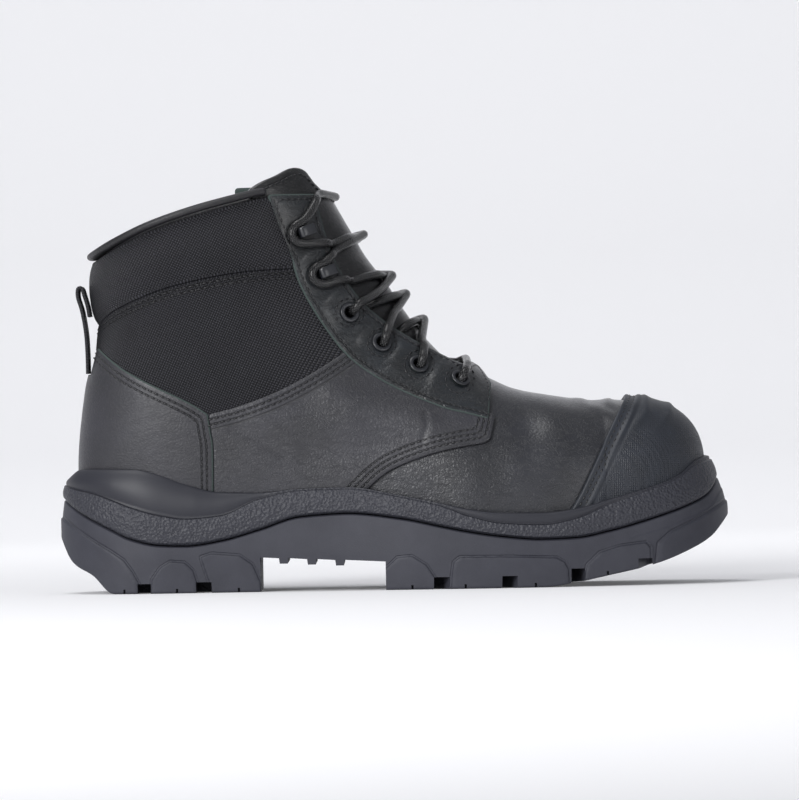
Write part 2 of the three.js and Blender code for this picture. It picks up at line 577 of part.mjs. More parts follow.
// Hooks: a plate on the eyestay, and an arm that stands off it and reaches to the throat.
const stops = [...eyelets, ...hooks.map(([x, z]) => [x + hookTurn[0], z + hookTurn[1]])];
const { plate, stand: tall, reach, metal: sheet } = hook;
const arm = [
  [0, 0], [plate, 0], [plate, sheet], [sheet * 1.6, sheet],
  [sheet * 1.6, tall - sheet], [reach, tall - sheet * 1.6],
  [reach, tall - sheet * 0.6], [sheet, tall], [0, tall - sheet],
];
hooks.forEach(([x, z], i) => {
  const foot = locate(along(x), up(z));
  const ahead = locate(along(x + hookTurn[0]), up(z + hookTurn[1]));
  for (const [side, way] of [["outer", 1], ["inner", -1]]) {
    const base = facePoint(foot.at, way * foot.round, flangeFrom);
    const out = facePoint(foot.at, way * foot.round, flangeFrom + 1).sub(base);
    const towards = facePoint(ahead.at, way * ahead.round, flangeFrom).sub(base);
    towards.addScaledVector(out, -towards.dot(out)).normalize();
    const width = new THREE.Vector3().crossVectors(towards, out);
    const shape = new THREE.Shape(arm.map(([a, b]) => new THREE.Vector2(a, b)));
    const geometry = new THREE.ExtrudeGeometry(shape, { depth: hook.width, bevelEnabled: false });
    const place = new THREE.Matrix4().makeBasis(towards, out, width).setPosition(base);
    geometry.translate(0, 0, -hook.width / 2).applyMatrix4(place);
    add(`hook_${side}_${i + 1}`, solidOf(geometry), metal);
  }
});

// Lace: each strand leaves one stop, comes down onto the tongue and ends at the next stop up on the other side.
const laceStand = flangeFrom + eyelet.rim + laceClear + laceRadius;
const laceLow = laceRadius + laceClear - wall - gap;
const round = new THREE.Shape().absarc(0, 0, laceRadius, 0, 2 * Math.PI);
function strand(from, to, rise) {
  const [a, b] = [from, to].map(([x, z]) => locate(along(x), up(z)));
  const points = Array.from({ length: laceSteps + 1 }, (_, i) => {
    const share = i / laceSteps;
    const at = THREE.MathUtils.lerp(a.at, b.at, share) + rise * Math.sin(Math.PI * share);
    const lift = THREE.MathUtils.smoothstep(Math.abs(2 * share - 1), 0, 0.75);
    const stand = THREE.MathUtils.lerp(laceLow, laceStand, lift);
    return facePoint(at, THREE.MathUtils.lerp(a.round, 2 * Math.PI - b.round, share), stand);
  });
  const path = new THREE.CatmullRomCurve3(points);
  const options = { steps: laceSteps, curveSegments: 3, bevelEnabled: false, extrudePath: path };
  return new THREE.ExtrudeGeometry(round, options);
}
const lowest = strand(stops[0], stops[0], -0.01);
const highest = strand(stops.at(-1), stops.at(-1), 0.04);
let lace = solidOf(lowest).add(solidOf(highest));
for (let i = 0; i < stops.length - 1; i++) {
  const crossing = strand(stops[i], stops[i + 1], 0);
  lace = lace.add(solidOf(crossing)).add(solidOf(strand(stops[i + 1], stops[i], 0)));
}
add("lace", lace, cord);

export default boot;
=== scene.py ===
# %% [markdown]
# # A composite toe work boot, right foot
# The boot stands on its sole with the toe to the right. It is a leather boot on a two-part sole: a foam midsole with a
# smooth lens round the heel, and a rubber outsole with lugs. This script dresses the fixed CAD frame: every piece below
# is made in the same place and the same sizes as the solid it stands for.

# %% Load the frame
import math
import bpy
import numpy as np
from mathutils import Matrix, Vector


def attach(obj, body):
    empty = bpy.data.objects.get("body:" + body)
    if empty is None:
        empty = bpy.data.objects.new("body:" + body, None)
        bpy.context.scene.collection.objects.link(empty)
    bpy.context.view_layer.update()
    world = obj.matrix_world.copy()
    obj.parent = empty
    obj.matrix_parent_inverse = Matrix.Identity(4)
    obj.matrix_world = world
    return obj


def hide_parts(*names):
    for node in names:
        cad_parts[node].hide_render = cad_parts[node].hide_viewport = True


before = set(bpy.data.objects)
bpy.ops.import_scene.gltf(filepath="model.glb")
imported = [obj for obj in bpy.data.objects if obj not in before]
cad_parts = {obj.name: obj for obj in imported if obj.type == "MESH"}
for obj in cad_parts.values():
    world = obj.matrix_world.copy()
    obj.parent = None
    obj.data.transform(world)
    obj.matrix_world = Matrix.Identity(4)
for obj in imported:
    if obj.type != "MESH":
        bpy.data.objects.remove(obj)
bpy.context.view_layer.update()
MM = 0.001

# %% [markdown]
# ## Camera
# The photograph looks square at the outer side, from far off and just under half the boot's height, with the picture
# turned by about one degree. A long lens four metres away gives the same flat view.

# %% Camera
CAMERA_FAR = 4.0
FRAME_TALL = 0.3813  # what the frame's height covers at the boot
ROLL = math.radians(1.05)
camera_data = bpy.data.cameras.new("photo_camera")
camera_data.lens = camera_data.sensor_width * CAMERA_FAR / FRAME_TALL
camera_data.clip_end = 50
camera = bpy.data.objects.new("photo_camera", camera_data)
camera.matrix_world = (Matrix.Translation((0.0035, -CAMERA_FAR, 0.0893))
                       @ Matrix.Rotation(math.pi / 2, 4, "X") @ Matrix.Rotation(-ROLL, 4, "Z"))
bpy.context.scene.collection.objects.link(camera)
bpy.context.scene.camera = camera
print("lens, mm:", round(camera_data.lens, 1))

# %% [markdown]
# ## Small helpers
# Points are worked out in millimetres and turned to metres only when a mesh is made. One function makes a mesh object
# from arrays, one adds a node with its settings and links, and one turns an sRGB hex colour to linear.

# %% Helpers
def make_object(name, points, faces, materials=(), looks=None, fields=None, uv=None, smooth=True):
    """A mesh object from points in mm and faces of three or four corners; looks is a material number for each face."""
    faces = [np.asarray(group, np.int32) for group in (faces if isinstance(faces, list) else [faces]) if len(group)]
    mesh = bpy.data.meshes.new(name)
    mesh.vertices.add(len(points))
    mesh.vertices.foreach_set("co", (np.asarray(points, float) * MM).astype(np.float32).ravel())
    sizes = np.concatenate([np.full(len(group), group.shape[1]) for group in faces])
    corners = np.concatenate([group.ravel() for group in faces])
    mesh.loops.add(len(corners))
    mesh.loops.foreach_set("vertex_index", corners)
    mesh.polygons.add(len(sizes))
    mesh.polygons.foreach_set("loop_start", np.concatenate([[0], np.cumsum(sizes)[:-1]]).astype(np.int32))
    mesh.polygons.foreach_set("loop_total", sizes.astype(np.int32))
    mesh.polygons.foreach_set("use_smooth", np.full(len(sizes), smooth))
    for material in materials:
        mesh.materials.append(material)
    if looks is not None:
        mesh.polygons.foreach_set("material_index", np.asarray(looks, np.int32))
    for key, values in (fields or {}).items():
        mesh.attributes.new(key, "FLOAT", "POINT").data.foreach_set("value", np.asarray(values, np.float32))
    if uv is not None:
        mesh.uv_layers.new(name="cloth").data.foreach_set("uv", np.asarray(uv, np.float32)[corners].ravel())
    mesh.update(calc_edges=True)
    mesh.validate()
    made = bpy.data.objects.new(name, mesh)
    bpy.context.scene.collection.objects.link(made)
    return made


def linear(code):
    """An sRGB hex colour as linear RGBA."""
    shares = [int(code[i:i + 2], 16) / 255 for i in (1, 3, 5)]
    return [s / 12.92 if s <= 0.04045 else ((s + 0.055) / 1.055) ** 2.4 for s in shares] + [1]


def add_node(tree, kind, inputs=None, **settings):
    """A node with its settings; an input takes a plain value or another node's socket."""
    node = tree.nodes.new(kind)
    for key, value in settings.items():
        setattr(node, key, value)
    for key, value in (inputs or {}).items():
        if isinstance(value, bpy.types.NodeSocket):
            tree.links.new(value, node.inputs[key])
        else:
            node.inputs[key].default_value = value
    return node


def piece(made, nodes):
    """Puts a finished piece on the boot's one body, in place of its CAD nodes."""
    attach(made, "root")
    if nodes:
        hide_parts(*nodes)
    print(made.name, sum(len(p.vertices) - 2 for p in made.data.polygons), "triangles")
    return made


# %% [markdown]
# ## Room, floor and light
# The photograph has a seamless pale ground. A floor that curves up behind stands for it. Large soft lights left, right
# and above give leather the long even sheen of a light tent, and a pale world keeps the shadow under the sole faint.

# %% Floor and lights
BACKDROP = [(-5, 0), (1.6, 0), (2.1, 0.05), (2.5, 0.2), (2.8, 0.5), (3.0, 1.0), (3.1, 3.5)]
floor_points = [[x * 1000, y * 1000, z * 1000] for x in (-5, 5) for y, z in BACKDROP]
floor_faces = [[i, i + len(BACKDROP), i + 1 + len(BACKDROP), i + 1] for i in range(len(BACKDROP) - 1)]
paper = bpy.data.materials.new("seamless_paper")
paper.use_nodes = True
paper.node_tree.nodes["Principled BSDF"].inputs["Base Color"].default_value = linear("#eeeef0")
paper.node_tree.nodes["Principled BSDF"].inputs["Roughness"].default_value = 0.9
paper.node_tree.nodes["Principled BSDF"].inputs["Emission Color"].default_value = linear("#fdfdff")
paper.node_tree.nodes["Principled BSDF"].inputs["Emission Strength"].default_value = 0.08  # a lit table, as in the photo
floor = make_object("floor", floor_points, [floor_faces], [paper])

world = bpy.data.worlds.new("light_tent")
bpy.context.scene.world = world
world.use_nodes = True
world.node_tree.nodes["Background"].inputs["Color"].default_value = linear("#f6f8ff")
world.node_tree.nodes["Background"].inputs["Strength"].default_value = 0.3
bpy.context.scene.view_settings.view_transform = "Standard"

LIGHTS = {  # name: place, aim, width and height in metres, watts
    "left_softbox": ((-1.2, -1.9, 0.9), (0, 0, 0.08), 0.9, 1.1, 40),
    "right_softbox": ((1.5, -2.0, 0.5), (0, 0, 0.08), 0.5, 0.9, 6),
    "overhead": ((-0.5, -0.2, 1.9), (0, 0, 0.05), 0.9, 0.7, 13),
    "backdrop_wash": ((0, 0.9, 1.3), (0, 2.7, 0.15), 3.5, 0.6, 19),
}
for name, (place, aim, wide, tall, watts) in LIGHTS.items():
    data = bpy.data.lights.new(name, "AREA")
    data.shape = "RECTANGLE"
    data.size, data.size_y, data.energy = wide, tall, watts
    lamp = bpy.data.objects.new(name, data)
    lamp.location = place
    lamp.rotation_euler = (Vector(aim) - Vector(place)).to_track_quat("-Z", "Y").to_euler()
    bpy.context.scene.collection.objects.link(lamp)
print("lights:", len(LIGHTS))

# %% [markdown]
# ## The form of the last
# A boot is pulled over a last, so one smooth form carries every panel. It is given by cross-sections that start at the
# toe, fan over the instep and end level at the collar. These are the same rows as in the CAD source. Between the rows
# each column runs on a curve that never swings past its own values, so that the leather stays fair.

# %% Sections of the last
LENGTH, TALL, BALL, SOLE = 316.0, 204.0, 106.0, 118.0  # mm: length, height, widths of upper and sole at the ball
SECTION_COLUMNS = "at lowX lowZ highX highZ outer inner swing peak squareLow squareHigh".split()
SECTION_ROWS = [
    (0, .815, .1, .815, .43, .435, .44, .055, .42, 3, 2.8),
    (.22, .815, .07, .815, .43, .45, .455, .03, .36, 3.2, 2.7),
    (.3, .72, .06, .725, .445, .49, .475, .012, .33, 3.4, 2.4),
    (.38, .625, .062, .645, .487, .492, .45, .004, .32, 3.4, 2.15),
    (.46, .53, .08, .585, .557, .462, .41, 0, .34, 3.4, 2.1),
    (.54, .39, .105, .548, .617, .425, .385, 0, .38, 3.3, 2.1),
    (.62, .225, .112, .527, .664, .405, .385, 0, .44, 3.1, 2.15),
    (.7, .075, .125, .511, .703, .4, .392, 0, .48, 2.7, 2.2),
    (.76, .0315, .27, .494, .738, .402, .398, 0, .49, 2.4, 2.2),
    (.83, .044, .47, .464, .808, .4, .4, 0, .47, 2.35, 2.2),
    (.9, .063, .62, .438, .876, .398, .398, 0, .46, 2.35, 2.2),
    (1, .053, .86, .393, 1.03, .405, .405, 0, .46, 2.35, 2.2),
]
TOE = dict(upTo=.22, reach=.1455, nose=.235, plan=2.35, side=3.3)


def along(share):
    return (np.asarray(share, float) - 0.5) * LENGTH


def up(share):
    return np.asarray(share, float) * TALL


def fair_curve(xs, ys):
    """A smooth curve through the points that stays between neighbouring values."""
    xs, ys = np.array(xs, float), np.array(ys, float)
    span = np.diff(xs)
    rise = np.diff(ys) / span
    a, b, before, after = rise[:-1], rise[1:], span[:-1], span[1:]
    same = a * b > 0
    a, b = np.where(same, a, 1), np.where(same, b, 1)
    inner = np.where(same, 3 * (before + after) / ((2 * after + before) / a + (after + 2 * before) / b), 0)
    slope = np.concatenate([rise[:1], inner, rise[-1:]])

    def value(x):
        i = np.searchsorted(xs[1:-1], x, side="left")
        t = np.clip((x - xs[i]) / span[i], 0, 1)
        bend = (1 - t) * slope[i] - t * slope[i + 1] - (1 - 2 * t) * rise[i]
        return ys[i] + (ys[i + 1] - ys[i]) * t + t * (1 - t) * bend * span[i]
    return value


def table(columns, rows):
    rows = np.array(rows, float)
    return {name: fair_curve(rows[:, 0], rows[:, i]) for i, name in enumerate(columns) if i}


SECTIONS = table(SECTION_COLUMNS, SECTION_ROWS)


def spine(at):
    """The middle line of a section, from its low end to the ridge, with the section's other values."""
    at = np.asarray(at, float)
    s = {name: curve(at) for name, curve in SECTIONS.items()}
    turn = math.pi / 2 * np.clip(at / TOE["upTo"], 0, 1)
    ahead = np.where(at < TOE["upTo"], TOE["reach"] * np.maximum(np.cos(turn), 0) ** (2 / TOE["plan"]), 0)
    tall = np.sin(turn) ** (2 / TOE["side"])
    s["low_x"], s["high_x"] = along(s["lowX"] + ahead), along(s["highX"] + ahead)
    s["low_z"] = up(TOE["nose"] + (s["lowZ"] - TOE["nose"]) * tall)
    s["high_z"] = up(TOE["nose"] + (s["highZ"] - TOE["nose"]) * tall)
    s["wide"] = np.sin(turn) ** (2 / TOE["plan"]) * BALL
    return s


def last_point(at, turn):
    """A point of the last. Turn runs from 0 underneath, by the outer side, to pi on the ridge, and back inside."""
    s = spine(at)
    cos, sin = np.cos(turn), np.sin(turn)
    square = np.where(cos > 0, s["squareLow"], s["squareHigh"])
    reach = np.abs(cos) ** (2 / square)
    share = np.where(cos > 0, s["peak"] * (1 - reach), s["peak"] + (1 - s["peak"]) * reach)
    half = np.abs(sin) ** (2 / square) * s["wide"]
    x = s["low_x"] + (s["high_x"] - s["low_x"]) * share
    z = s["low_z"] + (s["high_z"] - s["low_z"]) * share
    y = s["swing"] * BALL + np.where(sin > 0, -s["outer"], s["inner"]) * half
    return np.stack(np.broadcast_arrays(x, y, z), -1)


# %% [markdown]
# ## A fine skin over the last
# The sections alone bunch their points at the ridge and at the sides. The skin spaces them evenly, about a millimetre
# apart, in rows from the toe to the top and in columns round the foot, and it gives each point its outward normal.

# %% The skin
class Skin:
    def __init__(self, step, first=0.0, last=1.0):
        quarter = (1 - np.cos(np.linspace(0, math.pi, 161))) * math.pi / 4
        turns = np.concatenate([quarter, math.pi / 2 + quarter[1:]])
        ats = np.concatenate([TOE["upTo"] * np.linspace(0, 1, 120) ** 2, np.linspace(TOE["upTo"], 1, 360)[1:]])
        ats = np.concatenate([[first], ats[(ats > first) & (ats < last)], [last]])
        halves = []
        for sign in (1, -1):
            points = last_point(ats[:, None], sign * turns[None])
            run = np.cumsum(np.linalg.norm(np.diff(points, axis=1), axis=2), axis=1)
            run = np.concatenate([np.zeros((len(ats), 1)), run], 1)
            halves.append((run, sign))
        count = int(np.ceil(max(run[:, -1].max() for run, _ in halves) / step))
        share = np.linspace(0, 1, count + 1)
        spread = []
        for run, sign in halves:
            rows = [np.interp(share * row[-1], row, turns) if row[-1] > 0 else share * math.pi for row in run]
            spread.append(np.array(rows))
        spread[1] = 2 * math.pi - spread[1][:, ::-1]
        turn = np.concatenate([spread[0], spread[1][:, 1:-1]], 1)
        points = last_point(ats[:, None], turn)
        far = np.linalg.norm(np.diff(points, axis=0), axis=2).max(1)
        run = np.concatenate([[0], np.cumsum(far)])
        rows = np.interp(np.linspace(0, run[-1], int(np.ceil(run[-1] / step)) + 1), run, ats)
        turn = np.stack([np.interp(rows, ats, turn[:, k]) for k in range(turn.shape[1])], 1)
        grid = last_point(rows[:, None], turn)
        lengthwise = np.gradient(grid, axis=0)
        girth = np.roll(grid, -1, 1) - np.roll(grid, 1, 1)
        normal = np.cross(girth, lengthwise)
        size = np.linalg.norm(normal, axis=2, keepdims=True)
        normal = np.where(size > 1e-9, normal / np.maximum(size, 1e-9), [1.0, 0, 0])
        self.points, self.normals = grid.reshape(-1, 3), normal.reshape(-1, 3)
        n = turn.shape[1]
        self.inner = np.tile(np.arange(n) > count, len(rows))
        i, j = np.meshgrid(np.arange(len(rows) - 1), np.arange(n), indexing="ij")
        a, b = i * n + j, i * n + (j + 1) % n
        if first == 0:
            a, b = np.where(i == 0, 0, a), np.where(i == 0, 0, b)
        c, d = (i + 1) * n + (j + 1) % n, (i + 1) * n + j
        corners = np.concatenate([np.stack([a, b, c], -1).reshape(-1, 3), np.stack([a, c, d], -1).reshape(-1, 3)])
        whole = (corners[:, 0] != corners[:, 1]) & (corners[:, 1] != corners[:, 2]) & (corners[:, 0] != corners[:, 2])
        self.faces = corners[whole]
        self.known = {}


skin = Skin(1.15)
print("skin points:", len(skin.points))


# %% [markdown]
# ## Seams
# A seam is drawn in the side view, as a few places along the boot and up it, and a smooth line runs through them. The
# distance of a skin point from such a line, with its sign, tells which panel the point belongs to. Where the skin turns
# away from the side view the distance is stretched to what a ruler on the leather would show.

# %% Seams and distances
SEAMS = dict(
    collar=[(.01, .745), (.048, .768), (.0918, .806), (.144, .844), (.208, .877), (.268, .901), (.312, .916),
            (.352, .918), (.42, .916)],
    throat=[(.375, 1), (.383, .932), (.408, .79), (.432, .715), (.468, .645), (.515, .588), (.565, .541),
            (.598, .515), (.613, .512), (.628, .535)],
    cap_back=[(.747, .14), (.773, .203), (.796, .272), (.819, .342), (.84, .4), (.853, .44), (.86, .5)],
    eyestay_back=[(.306, .98), (.328, .86), (.35, .772), (.364, .705), (.393, .623), (.43, .545), (.467, .497),
                  (.512, .456), (.572, .415), (.617, .395), (.66, .375)],
    quarter_front=[(.6, .56), (.624, .512), (.639, .482), (.649, .452), (.652, .396), (.648, .36), (.64, .336),
                   (.601, .325), (.556, .31), (.51, .285), (.48, .258), (.44, .2)],
    fabric_back=[(.01, .65), (.05, .609), (.062, .575), (.095, .528), (.135, .49), (.195, .443), (.2255, .413),
                 (.24, .396)],
    fabric_front=[(.21, .407), (.2255, .413), (.27, .43), (.331, .464), (.392, .513), (.45, .57)],
    pad_lower=[(.01, .57), (.058, .62), (.092, .66), (.153, .7), (.214, .724), (.274, .739), (.32, .744), (.39, .747)],
    counter_front=[(.2235, .435), (.2255, .413), (.229, .37), (.232, .33), (.231, .18)],
    tongue_top=[(.25, .87), (.302, .939), (.34, .968), (.365, .987), (.385, .983), (.402, .952), (.425, .925),
                (.45, .91)],
    tongue_back=[(.72, .55), (.7, .44), (.66, .405), (.6, .43), (.53, .47), (.46, .53), (.405, .62), (.36, .74),
                 (.325, .85), (.28, .95)],
)


def smooth_line(places, steps=72):
    """A smooth line through the places, in mm of the side view."""
    p = np.stack([along([x for x, _ in places]), up([z for _, z in places])], 1)
    p = np.concatenate([[2 * p[0] - p[1]], p, [2 * p[-1] - p[-2]]])
    t = np.linspace(0, len(places) - 1, steps)
    i = np.clip(t.astype(int), 0, len(places) - 2)
    f = (t - i)[:, None]
    a, b, c, d = p[i], p[i + 1], p[i + 2], p[i + 3]
    return b + f / 2 * (c - a + f * (2 * a - 5 * b + 4 * c - d + f * (3 * (b - c) + d - a)))


def off_line(line, x, z):
    """Signed distance from a line, positive on the left of its run, and the direction in which it grows."""
    best = np.full(len(x), 1e9)
    signed, grow = np.zeros(len(x)), np.zeros((len(x), 2))
    p = np.stack([x, z], 1)
    for k in range(len(line) - 1):
        a, b = line[k], line[k + 1]
        run = b - a
        t = (p - a) @ run / (run @ run)
        t = np.clip(t, 0 if k else -1e3, 1 if k < len(line) - 2 else 1e3)
        off = p - a - t[:, None] * run
        far = np.linalg.norm(off, axis=1)
        nearer = far < best
        side = np.where(run[0] * off[:, 1] - run[1] * off[:, 0] >= 0, 1.0, -1.0)
        best = np.where(nearer, far, best)
        signed = np.where(nearer, far * side, signed)
        unit = off * (side / np.maximum(far, 1e-6))[:, None]
        grow = np.where(nearer[:, None], unit, grow)
    return signed, grow


def on_skin(skin, signed, grow, sign=1.0, shift=0.0):
    """The same distance measured along the skin, with its direction there."""
    g = sign * np.stack([grow[:, 0], np.zeros(len(grow)), grow[:, 1]], 1)
    g = g - skin.normals * (g * skin.normals).sum(1, keepdims=True)
    size = np.clip(np.linalg.norm(g, axis=1), 0.2, 1)[:, None]
    return sign * signed / size[:, 0] - shift, g / np.maximum(np.linalg.norm(g, axis=1)[:, None], 1e-6)


LINES = {name: smooth_line(places) for name, places in SEAMS.items()}


def beside(skin, name, sign, shift=0.0):
    """Distance inside a seam: sign 1 keeps the left of the line's run and -1 the right, shift mm away from it."""
    if name not in skin.known:
        skin.known[name] = on_skin(skin, *off_line(LINES[name], skin.points[:, 0], skin.points[:, 2]))
    far, way = skin.known[name]
    return sign * far - shift, sign * way


def nearest(*parts):
    """Where all the distances hold: the least of them, with its direction."""
    far = np.stack([d for d, _ in parts])
    pick = far.argmin(0)
    ways = np.stack([g for _, g in parts])
    n = np.arange(far.shape[1])
    return far[pick, n], ways[pick, n]


# %% [markdown]
# ## Cutting a panel
# Leather is cut along a line and its edge is slightly rounded. The skin's triangles are cut where the distance is nought,
# after points close to the line have been moved onto it, so that the edge is clean. The panel then gets a top face, a
# rounded edge of a few rows and a back face, which together are one closed solid.

# %% Cut, rim and wall
def cut(values, distance, faces):
    """Keeps the part of a triangle mesh where distance is positive; values has a row for each point."""
    sign = np.sign(distance)[faces]
    whole = (sign.min(1) >= 0) & (sign.max(1) > 0)
    mixed = (sign.min(1) < 0) & (sign.max(1) > 0)
    extra, made, kept = [], {}, []
    for corners in faces[mixed].tolist():
        ring = []
        for a, b in zip(corners, corners[1:] + corners[:1]):
            if distance[a] >= 0:
                ring.append(a)
            if distance[a] * distance[b] < 0:
                key = (a, b) if a < b else (b, a)
                if key not in made:
                    t = distance[key[0]] / (distance[key[0]] - distance[key[1]])
                    made[key] = len(values) + len(extra)
                    extra.append(values[key[0]] * (1 - t) + values[key[1]] * t)
                ring.append(made[key])
        kept += [(ring[0], ring[k], ring[k + 1]) for k in range(1, len(ring) - 1)]
    values = np.concatenate([values, extra]) if extra else values
    faces = np.concatenate([faces[whole], kept]).astype(int) if kept else faces[whole]
    used, flat = np.unique(faces, return_inverse=True)
    return values[used], flat.reshape(-1, 3)


def rims(faces):
    """The border loops of a triangle mesh, each with the mesh on its left."""
    edges = np.concatenate([faces[:, [0, 1]], faces[:, [1, 2]], faces[:, [2, 0]]])
    key = edges[:, 0] * 10**7 + edges[:, 1]
    back = edges[:, 1] * 10**7 + edges[:, 0]
    following = {}
    for a, b in edges[~np.isin(key, back)].tolist():
        following.setdefault(a, []).append(b)
    loops = []
    while following:
        start = next(iter(following))
        loop, here = [], start
        while here in following:
            loop.append(here)
            ahead = following[here]
            here = ahead.pop()
            if not ahead:
                del following[loop[-1]]
        if len(loop) > 2:
            loops.append(np.array(loop))
    return loops


def panel(name, skin, where, top, low, materials, roll=0.8, rows=3, fields=None, uv=None, biggest=True):
    """A closed panel over the skin where the distance is positive. Top gives its height over the skin at points, normals
    and distance; low is the height of its back. Materials are for its face, its edge and its back."""
    distance, way = where
    close = np.abs(distance - roll) < 0.33
    moved = skin.points - np.where(close, distance - roll, 0)[:, None] * way
    inside = np.where(close, 0.0, distance - roll)
    extra = [np.asarray(v)[:, None] for v in (fields or {}).values()]
    values = np.concatenate([moved, skin.normals, distance[:, None], skin.inner[:, None]] + extra, 1)
    values, faces = cut(values, inside, skin.faces)
    if biggest:
        faces = largest(faces)
        used, flat = np.unique(faces, return_inverse=True)
        values, faces = values[used], flat.reshape(-1, 3)
    base, normal, gap = values[:, :3], values[:, 3:6], values[:, 6]
    normal = normal / np.linalg.norm(normal, axis=1, keepdims=True)
    here = dict(points=base, gap=gap, inner=values[:, 7] > 0.5,
                **{key: values[:, 8 + i] for i, key in enumerate(fields or {})})
    height = top(here) if callable(top) else np.full(len(base), float(top))
    back = low(here) if callable(low) else np.full(len(base), float(low))
    tops = base + normal * height[:, None]
    backs = base + normal * back[:, None]
    stack, source = [tops], [np.arange(len(base))]
    quads, edge_low = [], backs.copy()
    offset = len(base)
    seams = []
    for loop in rims(faces):
        t = np.roll(base[loop], -2, 0) - np.roll(base[loop], 2, 0)
        out = np.cross(t, normal[loop])
        out /= np.maximum(np.linalg.norm(out, axis=1, keepdims=True), 1e-9)
        before = loop
        for k in range(1, rows + 1):
            angle = math.pi / 2 * k / rows
            depth = np.minimum(roll, (height - back)[loop] * 0.6) * (1 - math.cos(angle))
            ring = base[loop] + out * roll * math.sin(angle) + normal[loop] * (height[loop] - depth)[:, None]
            stack.append(ring)
            source.append(loop)
            now = offset + np.arange(len(loop))
            quads.append(np.stack([np.roll(before, -1), before, now, np.roll(now, -1)], 1))
            offset += len(loop)
            before = now
        edge_low[loop] = base[loop] + out * roll + normal[loop] * back[loop][:, None]
        seams.append((before, loop))
    for before, loop in seams:
        now = offset + loop
        quads.append(np.stack([np.roll(before, -1), before, now, np.roll(now, -1)], 1))
    stack.append(edge_low)
    source.append(np.arange(len(base)))
    source = np.concatenate(source)
    quads = np.concatenate(quads) if quads else np.zeros((0, 4), int)
    looks = np.concatenate([np.zeros(len(faces)), np.ones(len(quads)), np.full(len(faces), 2)])
    looks = np.minimum(looks, len(materials) - 1)
    attributes = {key: values[source, 8 + i] for i, key in enumerate(fields or {})}
    attributes.setdefault("edge", gap[source])
    made = make_object(name, np.concatenate(stack), [faces, quads, faces[:, ::-1] + offset], materials, looks, attributes,
                       None if uv is None else uv(base)[source])
    return made


def largest(faces):
    """The biggest connected part of a triangle mesh."""
    group = np.arange(faces.max() + 1)
    while True:
        low = group[faces].min(1)
        fresh = group.copy()
        for k in range(3):
            np.minimum.at(fresh, faces[:, k], low)
        fresh = fresh[fresh]
        if (fresh == group).all():
            break
        group = fresh
    names, counts = np.unique(group[faces[:, 0]], return_counts=True)
    return faces[group[faces[:, 0]] == names[counts.argmax()]]

# %% [markdown]
# ## Leather
# Full-grain cowhide, dyed black in the drum and waxed: fine pores about a millimetre apart, soft wrinkles where it was
# stretched over the last, and a satin sheen with a trace of blue. The pores are small Voronoi cells, the wrinkles thin
# ridges of noise, and a light coat gives the wax. Rows of stitching pull the leather down, and the distance to the cut
# edge, which each panel carries, puts those channels where the needle went.

# %% Leather finishes
def object_space(tree, scale=(1, 1, 1), turn=(0, 0, 0)):
    place = add_node(tree, "ShaderNodeTexCoord")
    mapping = add_node(tree, "ShaderNodeMapping", {"Vector": place.outputs["Object"], "Scale": scale,
                                                   "Rotation": [math.radians(a) for a in turn]})
    return mapping.outputs["Vector"]


def maths(tree, operation, *values, clamp=False):
    return add_node(tree, "ShaderNodeMath", dict(enumerate(values)), operation=operation, use_clamp=clamp).outputs[0]


def blend(tree, share, a, b):
    """Between two colours by a share from 0 to 1."""
    inputs = {"Factor": share}
    node = add_node(tree, "ShaderNodeMix", inputs, data_type="RGBA")
    for key, value in ((6, a), (7, b)):
        if isinstance(value, bpy.types.NodeSocket):
            tree.links.new(value, node.inputs[key])
        else:
            node.inputs[key].default_value = linear(value)
    return node.outputs[2]


def ramp(tree, share, stops):
    """A line through (place, value) stops."""
    node = add_node(tree, "ShaderNodeValToRGB", {"Fac": share})
    node.color_ramp.interpolation = "EASE"
    while len(node.color_ramp.elements) < len(stops):
        node.color_ramp.elements.new(0.5)
    for element, (place, value) in zip(node.color_ramp.elements, stops):
        element.position = place
        element.color = (value, value, value, 1)
    return node.outputs["Color"]


def bump(tree, height, depth_mm, below=None):
    inputs = {"Height": height, "Distance": depth_mm * MM, "Strength": 1.0}
    if below is not None:
        inputs["Normal"] = below
    return add_node(tree, "ShaderNodeBump", inputs).outputs["Normal"]


def finish_material(name, **values):
    material = bpy.data.materials.new(name)
    material.use_nodes = True
    shader = material.node_tree.nodes["Principled BSDF"]
    for key, value in values.items():
        shader.inputs[key.replace("_", " ").title().replace("Ior", "IOR")].default_value = value
    return material, material.node_tree, shader


def channels(tree, rows, width=0.75, reach=14.0):
    """Soft grooves at the given distances, in mm, from the panel's cut edge."""
    edge = add_node(tree, "ShaderNodeAttribute", attribute_name="edge").outputs["Fac"]
    share = maths(tree, "DIVIDE", edge, reach, clamp=True)
    stops = [(0, 0.75)]
    for row in rows:
        stops += [((row - width) / reach, 1), (row / reach, 0), ((row + width) / reach, 1)]
    stops.append((1, 1))
    return ramp(tree, share, stops)


